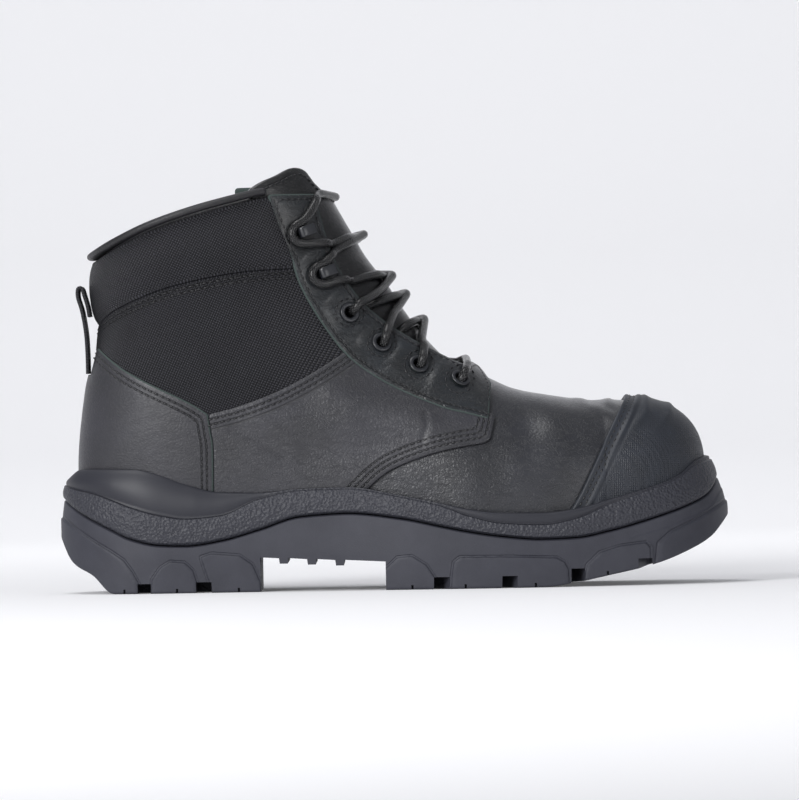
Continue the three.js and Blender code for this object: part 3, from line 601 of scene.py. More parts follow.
def leather(name, dark, light, roughness, rows=(), wrinkle=1.0, coat=0.25):
    material, tree, shader = finish_material(name, coat_weight=coat, coat_roughness=0.28)
    cloudy = add_node(tree, "ShaderNodeTexNoise", {"Vector": object_space(tree), "Scale": 28.0, "Detail": 3.0})
    tone = ramp(tree, cloudy.outputs["Fac"], [(0.35, 0), (0.65, 1)])
    pores = add_node(tree, "ShaderNodeTexVoronoi", {"Vector": object_space(tree), "Scale": 1050.0, "Smoothness": 0.7},
                     feature="SMOOTH_F1")
    folds = add_node(tree, "ShaderNodeTexNoise",
                     {"Vector": object_space(tree, (1, 1, 2.2), (0, 32, 0)), "Scale": 150.0, "Detail": 5.0,
                      "Roughness": 0.62, "Distortion": 0.9})
    thin = maths(tree, "ABSOLUTE", maths(tree, "SUBTRACT", folds.outputs["Fac"], 0.5))
    crease = ramp(tree, thin, [(0, 0), (0.035, 0.75), (0.16, 1)])
    normal = bump(tree, crease, 0.11 * wrinkle)
    normal = bump(tree, pores.outputs["Distance"], 0.16, normal)
    colour = blend(tree, tone, dark, light)
    if rows:
        groove = channels(tree, rows)
        normal = bump(tree, groove, 0.5, normal)
        # Painted shade: the colour is darkened towards near black in the stitch channels, as shade in the grooves, and
        # a little at the edge.
        colour = blend(tree, maths(tree, "MULTIPLY_ADD", groove, 0.5, 0.5), "#060607", colour)
    tree.links.new(colour, shader.inputs["Base Color"])
    tree.links.new(normal, shader.inputs["Normal"])
    gloss = maths(tree, "MULTIPLY_ADD", pores.outputs["Distance"], 0.22, roughness)
    tree.links.new(gloss, shader.inputs["Roughness"])
    return material


vamp_leather = leather("full_grain_leather_vamp", "#1b1c21", "#26272d", 0.27, coat=0.6, wrinkle=0.9)
counter_leather = leather("full_grain_leather_counter", "#28282d", "#303036", 0.42, rows=(3.0, 5.4), wrinkle=0.5)
quarter_leather = leather("full_grain_leather_quarter", "#232328", "#2e2e34", 0.34, rows=(2.6, 5.0, 7.4), wrinkle=0.8, coat=0.4)
eyestay_leather = leather("full_grain_leather_eyestay", "#0d1013", "#1a1f24", 0.28, rows=(2.6,), wrinkle=2.6, coat=0.6)
tongue_leather = leather("soft_leather_tongue", "#050506", "#0b0b0e", 0.26, rows=(3.2,), coat=0.5)
binding_leather = leather("soft_leather_binding", "#141417", "#1d1d21", 0.42, wrinkle=0.6, coat=0.1)
# The cut edge shows the undyed middle of the hide, grey with a little green.
cut_edge, tree, shader = finish_material("raw_cut_leather_edge", roughness=0.85)
fibres = add_node(tree, "ShaderNodeTexNoise", {"Vector": object_space(tree), "Scale": 2200.0, "Detail": 2.0})
tree.links.new(blend(tree, fibres.outputs["Fac"], "#27302f", "#46524f"), shader.inputs["Base Color"])
tree.links.new(bump(tree, fibres.outputs["Fac"], 0.12), shader.inputs["Normal"])
print("leathers made")

# %% [markdown]
# ## Cloth
# The ankle panels are coarse ballistic nylon in a plain weave: two yarns cross over and under each other about once a
# millimetre. Two sine waves at right angles, drawn on a layout of the cloth in millimetres that each panel carries so
# that it turns round the heel as real cloth does, give the crowns of the yarns and the pits between them; the pits are
# painted dark as shade. Drawn at 1.15 mm the weave still shows in the photograph's frame.

# %% Cloth finishes
def woven(name, dark, light, pitch, depth, roughness, turn=0.0, rows=()):
    material, tree, shader = finish_material(name, roughness=roughness)
    shader.inputs["Specular IOR Level"].default_value = 0.35
    layout = add_node(tree, "ShaderNodeUVMap", uv_map="cloth")
    turned = add_node(tree, "ShaderNodeMapping", {"Vector": layout.outputs["UV"], "Rotation": (0, 0, math.radians(turn))})
    axes = add_node(tree, "ShaderNodeSeparateXYZ", {"Vector": turned.outputs["Vector"]})
    across, upward = [maths(tree, "SINE", maths(tree, "MULTIPLY", axes.outputs[i], math.pi / pitch)) for i in (0, 1)]
    crossing = maths(tree, "MULTIPLY", across, upward)
    crown = maths(tree, "POWER", maths(tree, "ABSOLUTE", crossing), 0.6)
    over = maths(tree, "MULTIPLY_ADD", maths(tree, "SIGN", crossing), 0.14, 0.86)
    height = maths(tree, "MULTIPLY", crown, over)
    uneven = add_node(tree, "ShaderNodeTexNoise", {"Vector": object_space(tree), "Scale": 60.0, "Detail": 4.0})
    # Painted shade: the colour runs from the dark value in the pits between the yarns to the light one on their crowns;
    # the noise only makes it uneven.
    tone = maths(tree, "MULTIPLY", height, maths(tree, "MULTIPLY_ADD", uneven.outputs["Fac"], 0.7, 0.6), clamp=True)
    normal = bump(tree, height, depth)
    colour = blend(tree, tone, dark, light)
    if rows:
        groove = channels(tree, rows, width=1.0)
        normal = bump(tree, groove, 0.6, normal)
        # Painted shade: the cloth is darkened towards near black in the stitch channels, as shade in the grooves.
        colour = blend(tree, maths(tree, "MULTIPLY_ADD", groove, 0.45, 0.55), "#060607", colour)
    tree.links.new(colour, shader.inputs["Base Color"])
    tree.links.new(normal, shader.inputs["Normal"])
    return material


nylon = woven("ballistic_nylon", "#050506", "#34343a", 1.15, 0.7, 0.5, turn=24, rows=(2.2, 4.4))
pad_nylon = woven("ballistic_nylon_padding", "#050506", "#36363c", 1.15, 0.7, 0.5, turn=28)
webbing = woven("ribbed_webbing", "#0d0d10", "#303035", 1.3, 0.4, 0.6)
lining_mesh = woven("spacer_mesh_lining", "#0e0e10", "#333338", 1.8, 0.5, 0.8)
print("cloths made")


def cloth_layout(points):
    """Where a point lies on the cloth, in mm: round the ankle from the back, and up."""
    x, y, z = points.T
    turn = np.arctan2(y, x - (-84.0))
    turn = np.where(turn < 0, turn + 2 * math.pi, turn) - math.pi
    angles = np.linspace(-math.pi, math.pi, 721)
    ring = np.stack([58 * np.cos(angles + math.pi), 43 * np.sin(angles + math.pi)], 1)
    run = np.concatenate([[0], np.cumsum(np.linalg.norm(np.diff(ring, axis=0), axis=1))])
    true = np.unwrap(np.arctan2(ring[:, 1], ring[:, 0])) - math.pi
    return np.stack([np.interp(turn, true - true[0] - math.pi, run), z], 1)

# %% [markdown]
# ## Creases
# Leather on a last isn't dead smooth. The main forms are given one by one: the puckers in front of the toe cap, where
# the vamp is pulled tight, the soft swell of the quarter, the dents and ridges that the lace pulls into the eyestay,
# and a faint flex line. Each is a soft ridge or trough along a short line in the side view.

# %% Creases
CREASES = [  # side-view line in mm, half width, height; every crease is on both sides
    ([(93.5, 88.5), (99.0, 87.0), (104.0, 83.5)], 2.0, -0.7),
    ([(97.0, 92.0), (103.5, 88.5)], 1.6, 0.8),
    ([(88.0, 90.5), (95.5, 90.0), (101.5, 87.0)], 1.9, 0.6),
    ([(84.0, 87.0), (92.0, 84.0), (99.0, 78.0)], 3.2, -0.35),
    ([(55.0, 92.0), (62.0, 84.0), (64.0, 72.0)], 6.0, -0.5),
    ([(70.0, 88.0), (76.0, 80.0), (78.0, 66.0)], 6.0, 0.4),
    ([(48.0, 80.0), (56.0, 66.0), (58.0, 52.0)], 7.0, 0.5),
    ([(-60.0, 84.0), (-42.0, 78.0), (-22.0, 80.0)], 9.0, 0.9),
    ([(-28.0, 92.0), (-8.0, 84.0), (14.0, 78.0)], 7.0, 0.9),
    ([(-40.0, 66.0), (-12.0, 66.0), (10.0, 70.0)], 8.0, -0.5),
    ([(-75.0, 78.0), (-62.0, 72.0), (-52.0, 64.0)], 3.0, -0.3),
    ([(-66.0, 82.0), (-54.0, 76.0), (-45.0, 68.0)], 2.6, 0.25),
    ([(15.6, 82.0), (16.4, 76.0), (14.0, 70.0)], 1.6, -0.35),
]
EYELETS = [(.599, .476), (.539, .513), (.484, .567), (.436, .64)]
HOOKS = [(.39, .728), (.36, .824)]
STOPS = [(float(along(x)), float(up(z))) for x, z in EYELETS + HOOKS]


def relief(points):
    """How far the creases lift the leather at each point."""
    x, z = points[:, 0], points[:, 2]
    lift = np.zeros(len(x))
    for line, wide, high in CREASES:
        line = np.array(line)
        best = np.full(len(x), 1e9)
        for a, b in zip(line, line[1:]):
            t = np.clip(((x - a[0]) * (b - a)[0] + (z - a[1]) * (b - a)[1]) / ((b - a) @ (b - a)), 0, 1)
            best = np.minimum(best, np.hypot(x - a[0] - t * (b - a)[0], z - a[1] - t * (b - a)[1]))
        lift += high * np.exp(-(best / wide) ** 2)
    return lift


def pull(points):
    """The eyestay's own creases: a dent round each stop and a ridge between two."""
    x, z = points[:, 0], points[:, 2]
    lift = np.zeros(len(x))
    for a, b in STOPS:
        lift -= 0.8 * np.exp(-(np.hypot(x - a, z - b) / 6.5) ** 2)
    for (ax, az), (bx, bz) in zip(STOPS, STOPS[1:]):
        mx, mz = (ax + bx) / 2, (az + bz) / 2
        run = np.array([bz - az, ax - bx]) / math.hypot(bx - ax, bz - az)
        side = (x - mx) * run[0] + (z - mz) * run[1]
        down = (x - mx) * -run[1] + (z - mz) * run[0]
        lift += 1.0 * np.exp(-(down / 3.6) ** 2 - ((side + 3) / 9) ** 2)
    return lift


print("creases:", len(CREASES))

# %% [markdown]
# ## Sole lines
# The midsole's top edge, the lower edge of its smooth part, its joint with the outsole and the ground line are curves of
# the side view. The upper disappears behind the top edge, so its panels run a little below it.

# %% Sole lines
SIDE_COLUMNS = "at top smooth joint bed ground".split()
SIDE_ROWS = [
    (0, .262, .254, .222, .175, .135), (.02, .29, .244, .198, .175, .072), (.05, .29, .233, .17, .175, .042),
    (.08, .289, .216, .146, .175, 0), (.105, .288, .201, .127, .175, 0), (.15, .272, .181, .111, .176, 0),
    (.19, .25, .172, .109, .178, 0), (.24, .232, .178, .119, .181, 0), (.3, .23, .216, .144, .187, 0),
    (.36, .237, .233, .172, .194, 0), (.43, .239, .235, .178, .196, 0), (.51, .218, .214, .164, .182, 0),
    (.57, .198, .192, .144, .163, 0), (.61, .184, .168, .131, .15, 0), (.66, .174, .15, .119, .138, 0),
    (.72, .172, .145, .111, .132, 0), (.77, .18, .158, .113, .132, .01), (.82, .199, .189, .127, .138, .025),
    (.885, .226, .221, .154, .15, .047), (.94, .256, .25, .183, .16, .08), (.97, .284, .276, .205, .165, .107),
    (1, .297, .288, .25, .165, .16),
]
SIDE = table(SIDE_COLUMNS, SIDE_ROWS)


def above_line(skin, name, shift=0.0):
    """Distance above a line of the sole's side."""
    share = np.clip(skin.points[:, 0] / LENGTH + 0.5, 0, 1)
    far = skin.points[:, 2] - up(SIDE[name](share)) - shift
    grow = np.tile([0.0, 1.0], (len(far), 1))
    return on_skin(skin, far, grow)


# %% [markdown]
# ## The vamp and the lining
# The vamp is one hide over the forefoot that runs back under the quarters. Behind it the lining, a spacer mesh, goes right
# round the foot. Both are thin closed walls cut from the same skin, the lining just inside the leather.

# %% Vamp and lining
def crowned(base, crown, reach, creased=True, extra=None):
    """A height that swells away from the panel's edge."""
    def height(here):
        swell = 1 - np.exp(-np.maximum(here["gap"], 0) / reach)
        lift = base + crown * swell
        if creased:
            lift = lift + relief(here["points"])
        if extra is not None:
            lift = lift + extra(here) * (1 - np.exp(-np.maximum(here["gap"], 0) / 2.5))
        return lift
    return height


def thinner(top, wall):
    """A back face that follows the top at the panel's thickness."""
    return lambda here: top(here) - wall


vamp_where = nearest(above_line(skin, "top", -6), beside(skin, "throat", -1),
                     beside(skin, "cap_back", 1, -5), beside(skin, "quarter_front", 1, -9))
vamp_top = crowned(0.0, 0.0, 5)
vamp = panel("vamp", skin, vamp_where, vamp_top, thinner(vamp_top, 1.2), [vamp_leather], roll=0.5)
coarse = Skin(2.6)  # the lining is smooth and hidden for the most part
lining_where = nearest(above_line(coarse, "bed", 1), beside(coarse, "throat", -1, 0.4), beside(coarse, "collar", -1, 1.5))
lining = panel("lining", coarse, lining_where, -1.5, -2.6, [lining_mesh], roll=0.4, rows=2, uv=cloth_layout)
piece(vamp, ["upper"])
piece(lining, ["upper"])

# %% [markdown]
# ## Counter, quarters and ankle cloth
# The counter wraps the heel and has a slot at the back for the pull loop. The quarters run forward from it to the vamp.
# Both are leather 1.8 mm thick, laid over the nylon and stitched down with two rows; the counter's edge is raw cut. The
# nylon swells a little between its seams, and the padding round the collar swells more.

# %% Overlays
STRAP_WIDE = 24.0
LEATHER, CLOTH, EYESTAY, CAP, PAD = 2.1, 1.5, 2.5, 2.9, 3.5  # heights over the last


def strap_slot(skin):
    """Distance from the slot round the pull loop."""
    y, z, x = skin.points[:, 1], skin.points[:, 2], skin.points[:, 0]
    beside_it = np.abs(y) - (STRAP_WIDE / 2 + 0.6)
    below_it = up(0.512) - 0.6 - z
    far = np.where(x < -100, np.maximum(beside_it, below_it), 99.0)
    way = np.where((beside_it > below_it)[:, None], np.stack([0 * y, np.sign(y), 0 * y], 1), [0, 0, -1.0])
    way = way - skin.normals * (way * skin.normals).sum(1, keepdims=True)
    return far, way / np.maximum(np.linalg.norm(way, axis=1, keepdims=True), 1e-6)


def one_side(skin, inner):
    """Distance inside one half of the boot, cut along its middle line."""
    far = skin.points[:, 1] * (1 if inner else -1) - 0.15
    way = np.tile([0, 1.0 if inner else -1.0, 0], (len(far), 1))
    way = way - skin.normals * (way * skin.normals).sum(1, keepdims=True)
    return far, way / np.maximum(np.linalg.norm(way, axis=1, keepdims=True), 1e-6)


counter_where = nearest(above_line(skin, "top", -3), beside(skin, "fabric_back", -1), beside(skin, "counter_front", -1),
                        strap_slot(skin))
stitched = nearest(beside(skin, "fabric_back", -1), beside(skin, "counter_front", -1))[0]
counter = panel("heel_counter", skin, counter_where, crowned(LEATHER - 0.2, 0.5, 8), 0.1, [counter_leather, cut_edge],
                fields=dict(edge=stitched))
piece(counter, ["counter"])

pad_where = nearest(beside(skin, "collar", -1, 1.0), beside(skin, "pad_lower", 1), beside(skin, "eyestay_back", -1, -3))
pad = panel("collar_padding", skin, pad_where, crowned(1.2, 3.6, 5, creased=False), 0.0, [pad_nylon], roll=1.0,
            uv=cloth_layout)
piece(pad, ["collar_pad"])

for side in ("outer", "inner"):
    half = one_side(skin, side == "inner")
    quarter_where = nearest(half, above_line(skin, "top", -3), beside(skin, "fabric_front", -1),
                            beside(skin, "eyestay_back", -1, -4), beside(skin, "quarter_front", -1),
                            beside(skin, "counter_front", 1))
    stitched = nearest(beside(skin, "fabric_front", -1), beside(skin, "quarter_front", -1))[0]
    quarter = panel("quarter_leather_" + side, skin, quarter_where, crowned(LEATHER - 0.2, 0.4, 8), 0.1,
                    [quarter_leather, quarter_leather], fields=dict(edge=stitched))
    piece(quarter, ["quarter_" + side])
    fabric_where = nearest(half, beside(skin, "pad_lower", -1), beside(skin, "fabric_back", 1, -3),
                           beside(skin, "fabric_front", 1, -3), beside(skin, "eyestay_back", -1, -4))
    fabric = panel("ankle_cloth_" + side, skin, fabric_where, crowned(CLOTH - 0.4, 1.6, 12, creased=False), 0.0, [nylon],
                   roll=0.7, uv=cloth_layout, fields=dict(edge=beside(skin, "pad_lower", -1)[0]))
    piece(fabric, ["fabric_" + side])


# %% [markdown]
# ## Eyestays
# The eyestays are the strips that carry eyelets and hooks. The lace pulls on them, so they are the most creased leather
# on the boot. Holes are cut for the eyelets, and their long rear edge is raw.

# %% Eyestays
def spot(x, z, inner=False):
    """The section and turn of the last where it shows at x and z in the side view."""
    x, z = np.atleast_1d(np.asarray(x, float)), np.atleast_1d(np.asarray(z, float))
    near, far = np.full(len(x), TOE["upTo"]), np.ones(len(x))
    for _ in range(30):
        middle = (near + far) / 2
        s = spine(middle)
        behind = (s["high_x"] - s["low_x"]) * (z - s["low_z"]) - (s["high_z"] - s["low_z"]) * (x - s["low_x"]) > 0
        near, far = np.where(behind, middle, near), np.where(behind, far, middle)
    ahead = np.clip((x - along(SECTION_ROWS[0][1])) / LENGTH / TOE["reach"], 0, 1)
    at_toe = TOE["upTo"] * 2 / math.pi * np.arccos(ahead ** (TOE["plan"] / 2))
    at = np.where(ahead > 0, at_toe, near)
    s = spine(at)
    share = np.clip((z - s["low_z"]) / np.maximum(s["high_z"] - s["low_z"], 1e-6), 0, 1)
    below = share < s["peak"]
    reach = np.where(below, 1 - share / s["peak"], (share - s["peak"]) / (1 - s["peak"]))
    angle = np.arccos(np.clip(reach, 0, 1) ** (np.where(below, s["squareLow"], s["squareHigh"]) / 2))
    turn = np.where(below, angle, math.pi - angle)
    return at, np.where(inner, 2 * math.pi - turn, turn)


def lifted(at, turn, lift):
    """Points over the last at a height, with the outward normals."""
    at, turn, lift = np.broadcast_arrays(*[np.asarray(v, float) for v in (at, turn, lift)])
    step = 2e-3
    lengthwise = last_point(np.minimum(at + step, 1), turn) - last_point(np.maximum(at - step, 1e-4), turn)
    girth = last_point(at, turn + step) - last_point(at, turn - step)
    normal = np.cross(girth, lengthwise)
    normal /= np.linalg.norm(normal, axis=-1, keepdims=True)
    return last_point(at, turn) + normal * lift[..., None], normal


HOLE = 3.5
hole_places = []
for x, z in EYELETS:
    for inner in (False, True):
        at, turn = spot(along(x), up(z), inner)
        point, normal = lifted(at, turn, 0.0)
        hole_places.append((point[0], normal[0], inner))


def round_holes(skin):
    """Distance outside the eyelet holes."""
    best, way = np.full(len(skin.points), 1e9), np.zeros((len(skin.points), 3))
    for centre, _, _ in hole_places:
        off = skin.points - centre
        far = np.linalg.norm(off, axis=1)
        way = np.where((far < best)[:, None], off / np.maximum(far, 1e-6)[:, None], way)
        best = np.minimum(best, far)
    return best - HOLE, way


fine = Skin(0.85, 0.38, 1.0)
for side in ("outer", "inner"):
    half = one_side(fine, side == "inner")
    stay_where = nearest(half, beside(fine, "collar", -1), beside(fine, "throat", -1), beside(fine, "eyestay_back", 1),
                         beside(fine, "quarter_front", -1), round_holes(fine))
    stitched = nearest(beside(fine, "collar", -1), beside(fine, "throat", -1), beside(fine, "eyestay_back", 1),
                       beside(fine, "quarter_front", -1))[0]
    stay = panel("eyestay_leather_" + side, fine, stay_where,
                 crowned(EYESTAY, 0.5, 4, creased=False, extra=lambda here: pull(here["points"])), 0.2,
                 [eyestay_leather, cut_edge], roll=0.7, fields=dict(edge=stitched))
    piece(stay, ["eyestay_" + side])

# %% [markdown]
# ## Tongue
# A padded leather tongue lies under the eyestays and stands above the collar. It is one crowned closed form, with a
# stitched fold along its free edge and soft dents where the lace presses on it.

# %% Tongue
def lace_dents(here):
    x, z = here["points"][:, 0], here["points"][:, 2]
    lift = np.zeros(len(x))
    for a, b in STOPS:
        lift -= 0.7 * np.exp(-(((x - a) * 0.42 + (z - b) * -0.0 + (z - b - 9) * 0.9) / 5) ** 2)
    return lift


tongue_where = nearest(beside(skin, "tongue_top", -1), beside(skin, "tongue_back", -1))
tongue_top = crowned(-4.2, 1.2, 4, creased=False, extra=lace_dents)
tongue = panel("tongue_padded", skin, tongue_where, tongue_top, -7.6, [tongue_leather, tongue_leather, lining_mesh], roll=1.6,
               rows=5, uv=cloth_layout)
piece(tongue, ["tongue"])

# %% [markdown]
# ## Toe cap
# A moulded rubber bumper covers the composite cap. Its rear edge is a sewn band: two lips with a channel between them for
# two rows of stitches. Two soft ridges sweep back over the top, and the flanks have a fine knurl like a mesh. The lips and
# ridges are real relief, the knurl is bump.

# %% Toe cap
CAP_RIDGES = [  # side-view lines, half width, height
    ([(113.5, 92.0), (118.2, 88.0), (120.1, 84.4), (119.5, 79.7), (115.2, 74.6), (110.5, 70.5)], 1.7, 1.0),
    ([(124.0, 90.0), (128.6, 86.0), (130.4, 82.8), (129.9, 78.3), (126.0, 73.9), (118.8, 67.6)], 1.8, 1.0),
]
BAND = dict(lip=0.9, channel=(1.3, 5.3), sunk=0.8, inner_lip=6.2)


def cap_relief(here):
    edge = here["edge"]
    low, high = BAND["channel"]
    inside = np.clip((edge - low) / 0.6, 0, 1) * np.clip((high - edge) / 0.6, 0, 1)
    lift = -BAND["sunk"] * inside
    lift += 0.35 * np.exp(-((edge - BAND["inner_lip"]) / 0.8) ** 2) - 0.35 * np.exp(-((edge - 7.6) / 0.7) ** 2)
    points = here["points"]
    for line, wide, high in CAP_RIDGES:
        line = np.array(line)
        best, done = np.full(len(points), 1e9), np.zeros(len(points))
        for k, (a, b) in enumerate(zip(line, line[1:])):
            run = b - a
            t = np.clip(((points[:, 0] - a[0]) * run[0] + (points[:, 2] - a[1]) * run[1]) / (run @ run), 0, 1)
            far = np.hypot(points[:, 0] - a[0] - t * run[0], points[:, 2] - a[1] - t * run[1])
            done = np.where(far < best, (k + t) / (len(line) - 1), done)
            best = np.minimum(best, far)
        fade = np.clip((1 - done) / 0.45, 0, 1)
        lift += high * np.exp(-(best / wide) ** 2) * fade
    return lift


toe_skin = Skin(0.8, 0.0, 0.40)
cap_where = nearest(above_line(toe_skin, "top", -3), beside(toe_skin, "cap_back", -1))
bumper, tree, shader = finish_material("moulded_rubber_toe_bumper", roughness=0.5)
edge = add_node(tree, "ShaderNodeAttribute", attribute_name="edge").outputs["Fac"]
flank = add_node(tree, "ShaderNodeSeparateXYZ", {"Vector": object_space(tree)}).outputs["Z"]
knurled = maths(tree, "MULTIPLY", maths(tree, "MULTIPLY_ADD", flank, -60.0, 5.2, clamp=True),
                maths(tree, "MULTIPLY_ADD", edge, 0.8, -6.0, clamp=True))
knurl = add_node(tree, "ShaderNodeTexVoronoi", {"Vector": object_space(tree, (1, 0.7, 1)), "Scale": 1000.0,
                                                "Randomness": 0.25}, distance="CHEBYCHEV")
pits = maths(tree, "MULTIPLY", knurl.outputs["Distance"], knurled)
dusty = add_node(tree, "ShaderNodeTexNoise", {"Vector": object_space(tree), "Scale": 90.0, "Detail": 6.0})
normal = bump(tree, dusty.outputs["Fac"], 0.1, bump(tree, pits, 0.5))
tree.links.new(normal, shader.inputs["Normal"])
tree.links.new(blend(tree, maths(tree, "MULTIPLY_ADD", dusty.outputs["Fac"], 1.6, -0.3, clamp=True), "#1e2127", "#2b2f38"),
               shader.inputs["Base Color"])
cap = panel("toe_bumper", toe_skin, cap_where, crowned(CAP, 0.2, 3, creased=False, extra=cap_relief), 0.1, [bumper],
            roll=0.9, rows=4, fields=dict(edge=beside(toe_skin, "cap_back", -1)[0]))
piece(cap, ["toe_cap"])

# %% [markdown]
# ## Sole outline
# Seen from above, the sole is two half curves on a middle line that bends inwards at the toe, closed by a round heel and a
# round toe. Its wall leans in with height. Rings of points at any height come from one function.

# %% Sole outline
PLAN = table("at outer inner swing".split(), [
    (0, .35, .35, 0), (.14, .375, .375, 0), (.3, .39, .36, 0), (.42, .42, .35, 0), (.54, .475, .4, 0),
    (.65, .5, .475, 0), (.74, .49, .495, .006), (.83, .455, .47, .02), (1, .42, .43, .05)])
WALL = table("at side heel toe".split(), [
    (0, .014, 0, 0), (.1, 0, 0, 0), (.17, 0, 0, 0), (.22, .008, .0035, .006), (.26, .016, .006, .016),
    (.31, .028, .014, .026)])
ENDS = dict(heel=.15, heelSquare=2.2, toe=.8, toeSquare=2.35)


def sole_ring(turn, share, grow):
    """Points of the sole's wall; share is the height over the boot's height."""
    at = (1 - np.cos(turn)) / 2
    heel = np.maximum(1 - at / ENDS["heel"], 0)
    tip = np.maximum((at - ENDS["toe"]) / (1 - ENDS["toe"]), 0)
    closing = ((1 - heel ** ENDS["heelSquare"]) ** (1 / ENDS["heelSquare"])
               * (1 - tip ** ENDS["toeSquare"]) ** (1 / ENDS["toeSquare"]))
    draw = {name: curve(share) for name, curve in WALL.items()}
    outer = -((PLAN["outer"](at) - draw["side"]) * SOLE + grow)
    inner = (PLAN["inner"](at) - draw["side"]) * SOLE + grow
    y = np.where(np.sin(turn) > 0, outer, inner) * closing + PLAN["swing"](at) * SOLE
    x = along(at + draw["heel"] * (1 - at) ** 4 - draw["toe"] * at ** 4) + grow * (2 * at - 1) ** 3
    return x, y


def even_turns(count):
    """Turns that space the ring's points evenly."""
    dense = np.linspace(0, 2 * math.pi, 4001)
    x, y = sole_ring(dense, np.full(len(dense), 0.15), 0.0)
    run = np.concatenate([[0], np.cumsum(np.hypot(np.diff(x), np.diff(y)))])
    return np.interp(np.linspace(0, run[-1], count + 1)[:-1], run, dense)


def side_height(name, x):
    return up(SIDE[name](np.clip(x / LENGTH + 0.5, 0, 1)))


def ring_stack(rings):
    """Faces between rings, with the first and the last closed straight across."""
    n = len(rings[0])
    i = np.arange(n)
    faces = [np.stack([k * n + i, k * n + (i + 1) % n, (k + 1) * n + (i + 1) % n, (k + 1) * n + i], 1)
             for k in range(len(rings) - 1)]
    j = np.arange(1, n // 2 - 1)
    first = np.stack([n - j, n - j - 1, j + 1, j], 1)
    ends = [(0, n - 1, 1)], [(n // 2 - 1, n // 2 + 1, n // 2)]
    last = (len(rings) - 1) * n
    tri = np.array(ends[0] + ends[1])
    faces += [first, first[:, ::-1] + last]
    return [np.concatenate(faces), np.concatenate([tri, tri[:, ::-1] + last])]


turns = even_turns(640)
print("sole ring points:", len(turns))

# %% [markdown]
# ## Midsole
# Injected foam. From the joint upwards it has a pebbled band, a step, and above it a smooth lens that swells round the
# heel and again at the ball of the foot. The top lip rolls in to the leather, and inside a wall runs down to the bed.

# %% Midsole
def foot_inside(turn, name, sunk, drop=0.0):
    """A ring on the last, sunk mm into the leather, at the height of a line of the side view."""
    at_back, at_toe = np.linspace(.66, .86, 200), np.linspace(.002, .2, 200)
    back, toe = spine(at_back), spine(at_toe)
    level_back = side_height(name, back["low_x"]) + drop
    x_back = np.interp(0, (back["low_z"] - level_back), back["low_x"])
    level_toe = side_height(name, toe["low_x"]) + drop
    x_toe = toe["low_x"][(toe["low_z"] < level_toe) & (toe["high_z"] > level_toe)].max()
    x = x_back + sunk + (x_toe - x_back - 2 * sunk) * (1 - np.cos(turn)) / 2
    z = side_height(name, x) + drop
    inner = np.sin(turn) < 0
    at, where = spot(x, z, inner)
    y = last_point(at, where)[:, 1]
    middle = PLAN["swing"](np.clip(x / LENGTH + .5, 0, 1)) * SOLE
    span = np.maximum(np.abs(y - middle) - sunk, 0.4)
    return x, np.where(inner, middle + span, middle - span), z


def wall_ring(z_of, grow):
    """A ring on the sole's wall at a height that follows the side view, pushed out by grow."""
    x, _ = sole_ring(turns, np.full(len(turns), 0.2), 0.0)
    z = z_of(x)
    grow = grow(x) if callable(grow) else grow
    x, y = sole_ring(turns, z / TALL, grow)
    return np.stack([x, y, z], 1)


def level(name, other=None, share=0.0, shift=0.0):
    """A height between two lines of the side view."""
    return lambda x: (side_height(name, x) * (1 - share) + side_height(other or name, x) * share + shift)


def lens(x):
    """How far the smooth part swells, by its height."""
    return np.clip((side_height("top", x) - side_height("smooth", x)) * 0.13, 0.1, 1.9)


rings, grit = [], []
for z_of, grow, grain in (
    [(level("joint", shift=0.2), -1.6, 0), (level("joint", shift=0.35), -0.3, 0), (level("joint", shift=0.9), 0.35, 0.5)]
    + [(level("joint", "smooth", t, 0.9 * (1 - t) - 0.7 * t), 0.55 + 0.5 * math.sin(math.pi * t), 1)
       for t in np.linspace(0.06, 0.94, 9)]
    + [(level("smooth", shift=-0.35), 0.62, 1), (level("smooth", shift=-0.05), 0.2, 0.3),
       (level("smooth", shift=0.12), -0.35, 0)]
    + [(level("smooth", "top", t, 0.12 * (1 - t)), (lambda x, t=t: -0.45 + lens(x) * math.sin(math.pi * min(t * 1.08, 1)) ** 0.7), 0)
       for t in np.linspace(0.1, 0.86, 8)]
    + [(level("top", shift=-0.35), -0.7, 0), (level("top", shift=-0.08), -1.25, 0), (level("top"), -1.9, 0)]
):
    rings.append(wall_ring(z_of, grow))
    grit.append(np.full(len(turns), float(grain)))
arch = np.clip(1 - (side_height("top", rings[0][:, 0]) - side_height("smooth", rings[0][:, 0])) / 2.5, 0, 1)
grit = [np.maximum(g, arch * (i > 2)) for i, g in enumerate(grit)]
for name, sunk, drop in (("top", 0.6, -0.1), ("top", 1.2, -4.0), ("bed", 1.4, 0.0)):
    rings.append(np.stack(foot_inside(turns, name, sunk, drop), 1))
    grit.append(np.zeros(len(turns)))

foam, tree, shader = finish_material("moulded_foam_midsole", roughness=0.5)
pebbled = add_node(tree, "ShaderNodeAttribute", attribute_name="grit").outputs["Fac"]
pebble = add_node(tree, "ShaderNodeTexVoronoi", {"Vector": object_space(tree), "Scale": 780.0, "Smoothness": 0.5},
                  feature="SMOOTH_F1")
cloudy = add_node(tree, "ShaderNodeTexNoise", {"Vector": object_space(tree), "Scale": 400.0, "Detail": 4.0})
grains = maths(tree, "MULTIPLY", maths(tree, "ADD", pebble.outputs["Distance"], cloudy.outputs["Fac"]), pebbled)
tree.links.new(bump(tree, grains, 0.6), shader.inputs["Normal"])
tree.links.new(blend(tree, maths(tree, "MULTIPLY", grains, 0.7, clamp=True), "#25262e", "#32333b"),
               shader.inputs["Base Color"])
midsole = make_object("midsole_foam", np.concatenate(rings), ring_stack(rings), [foam],
                      fields=dict(grit=np.concatenate(grit)))
piece(midsole, ["midsole"])

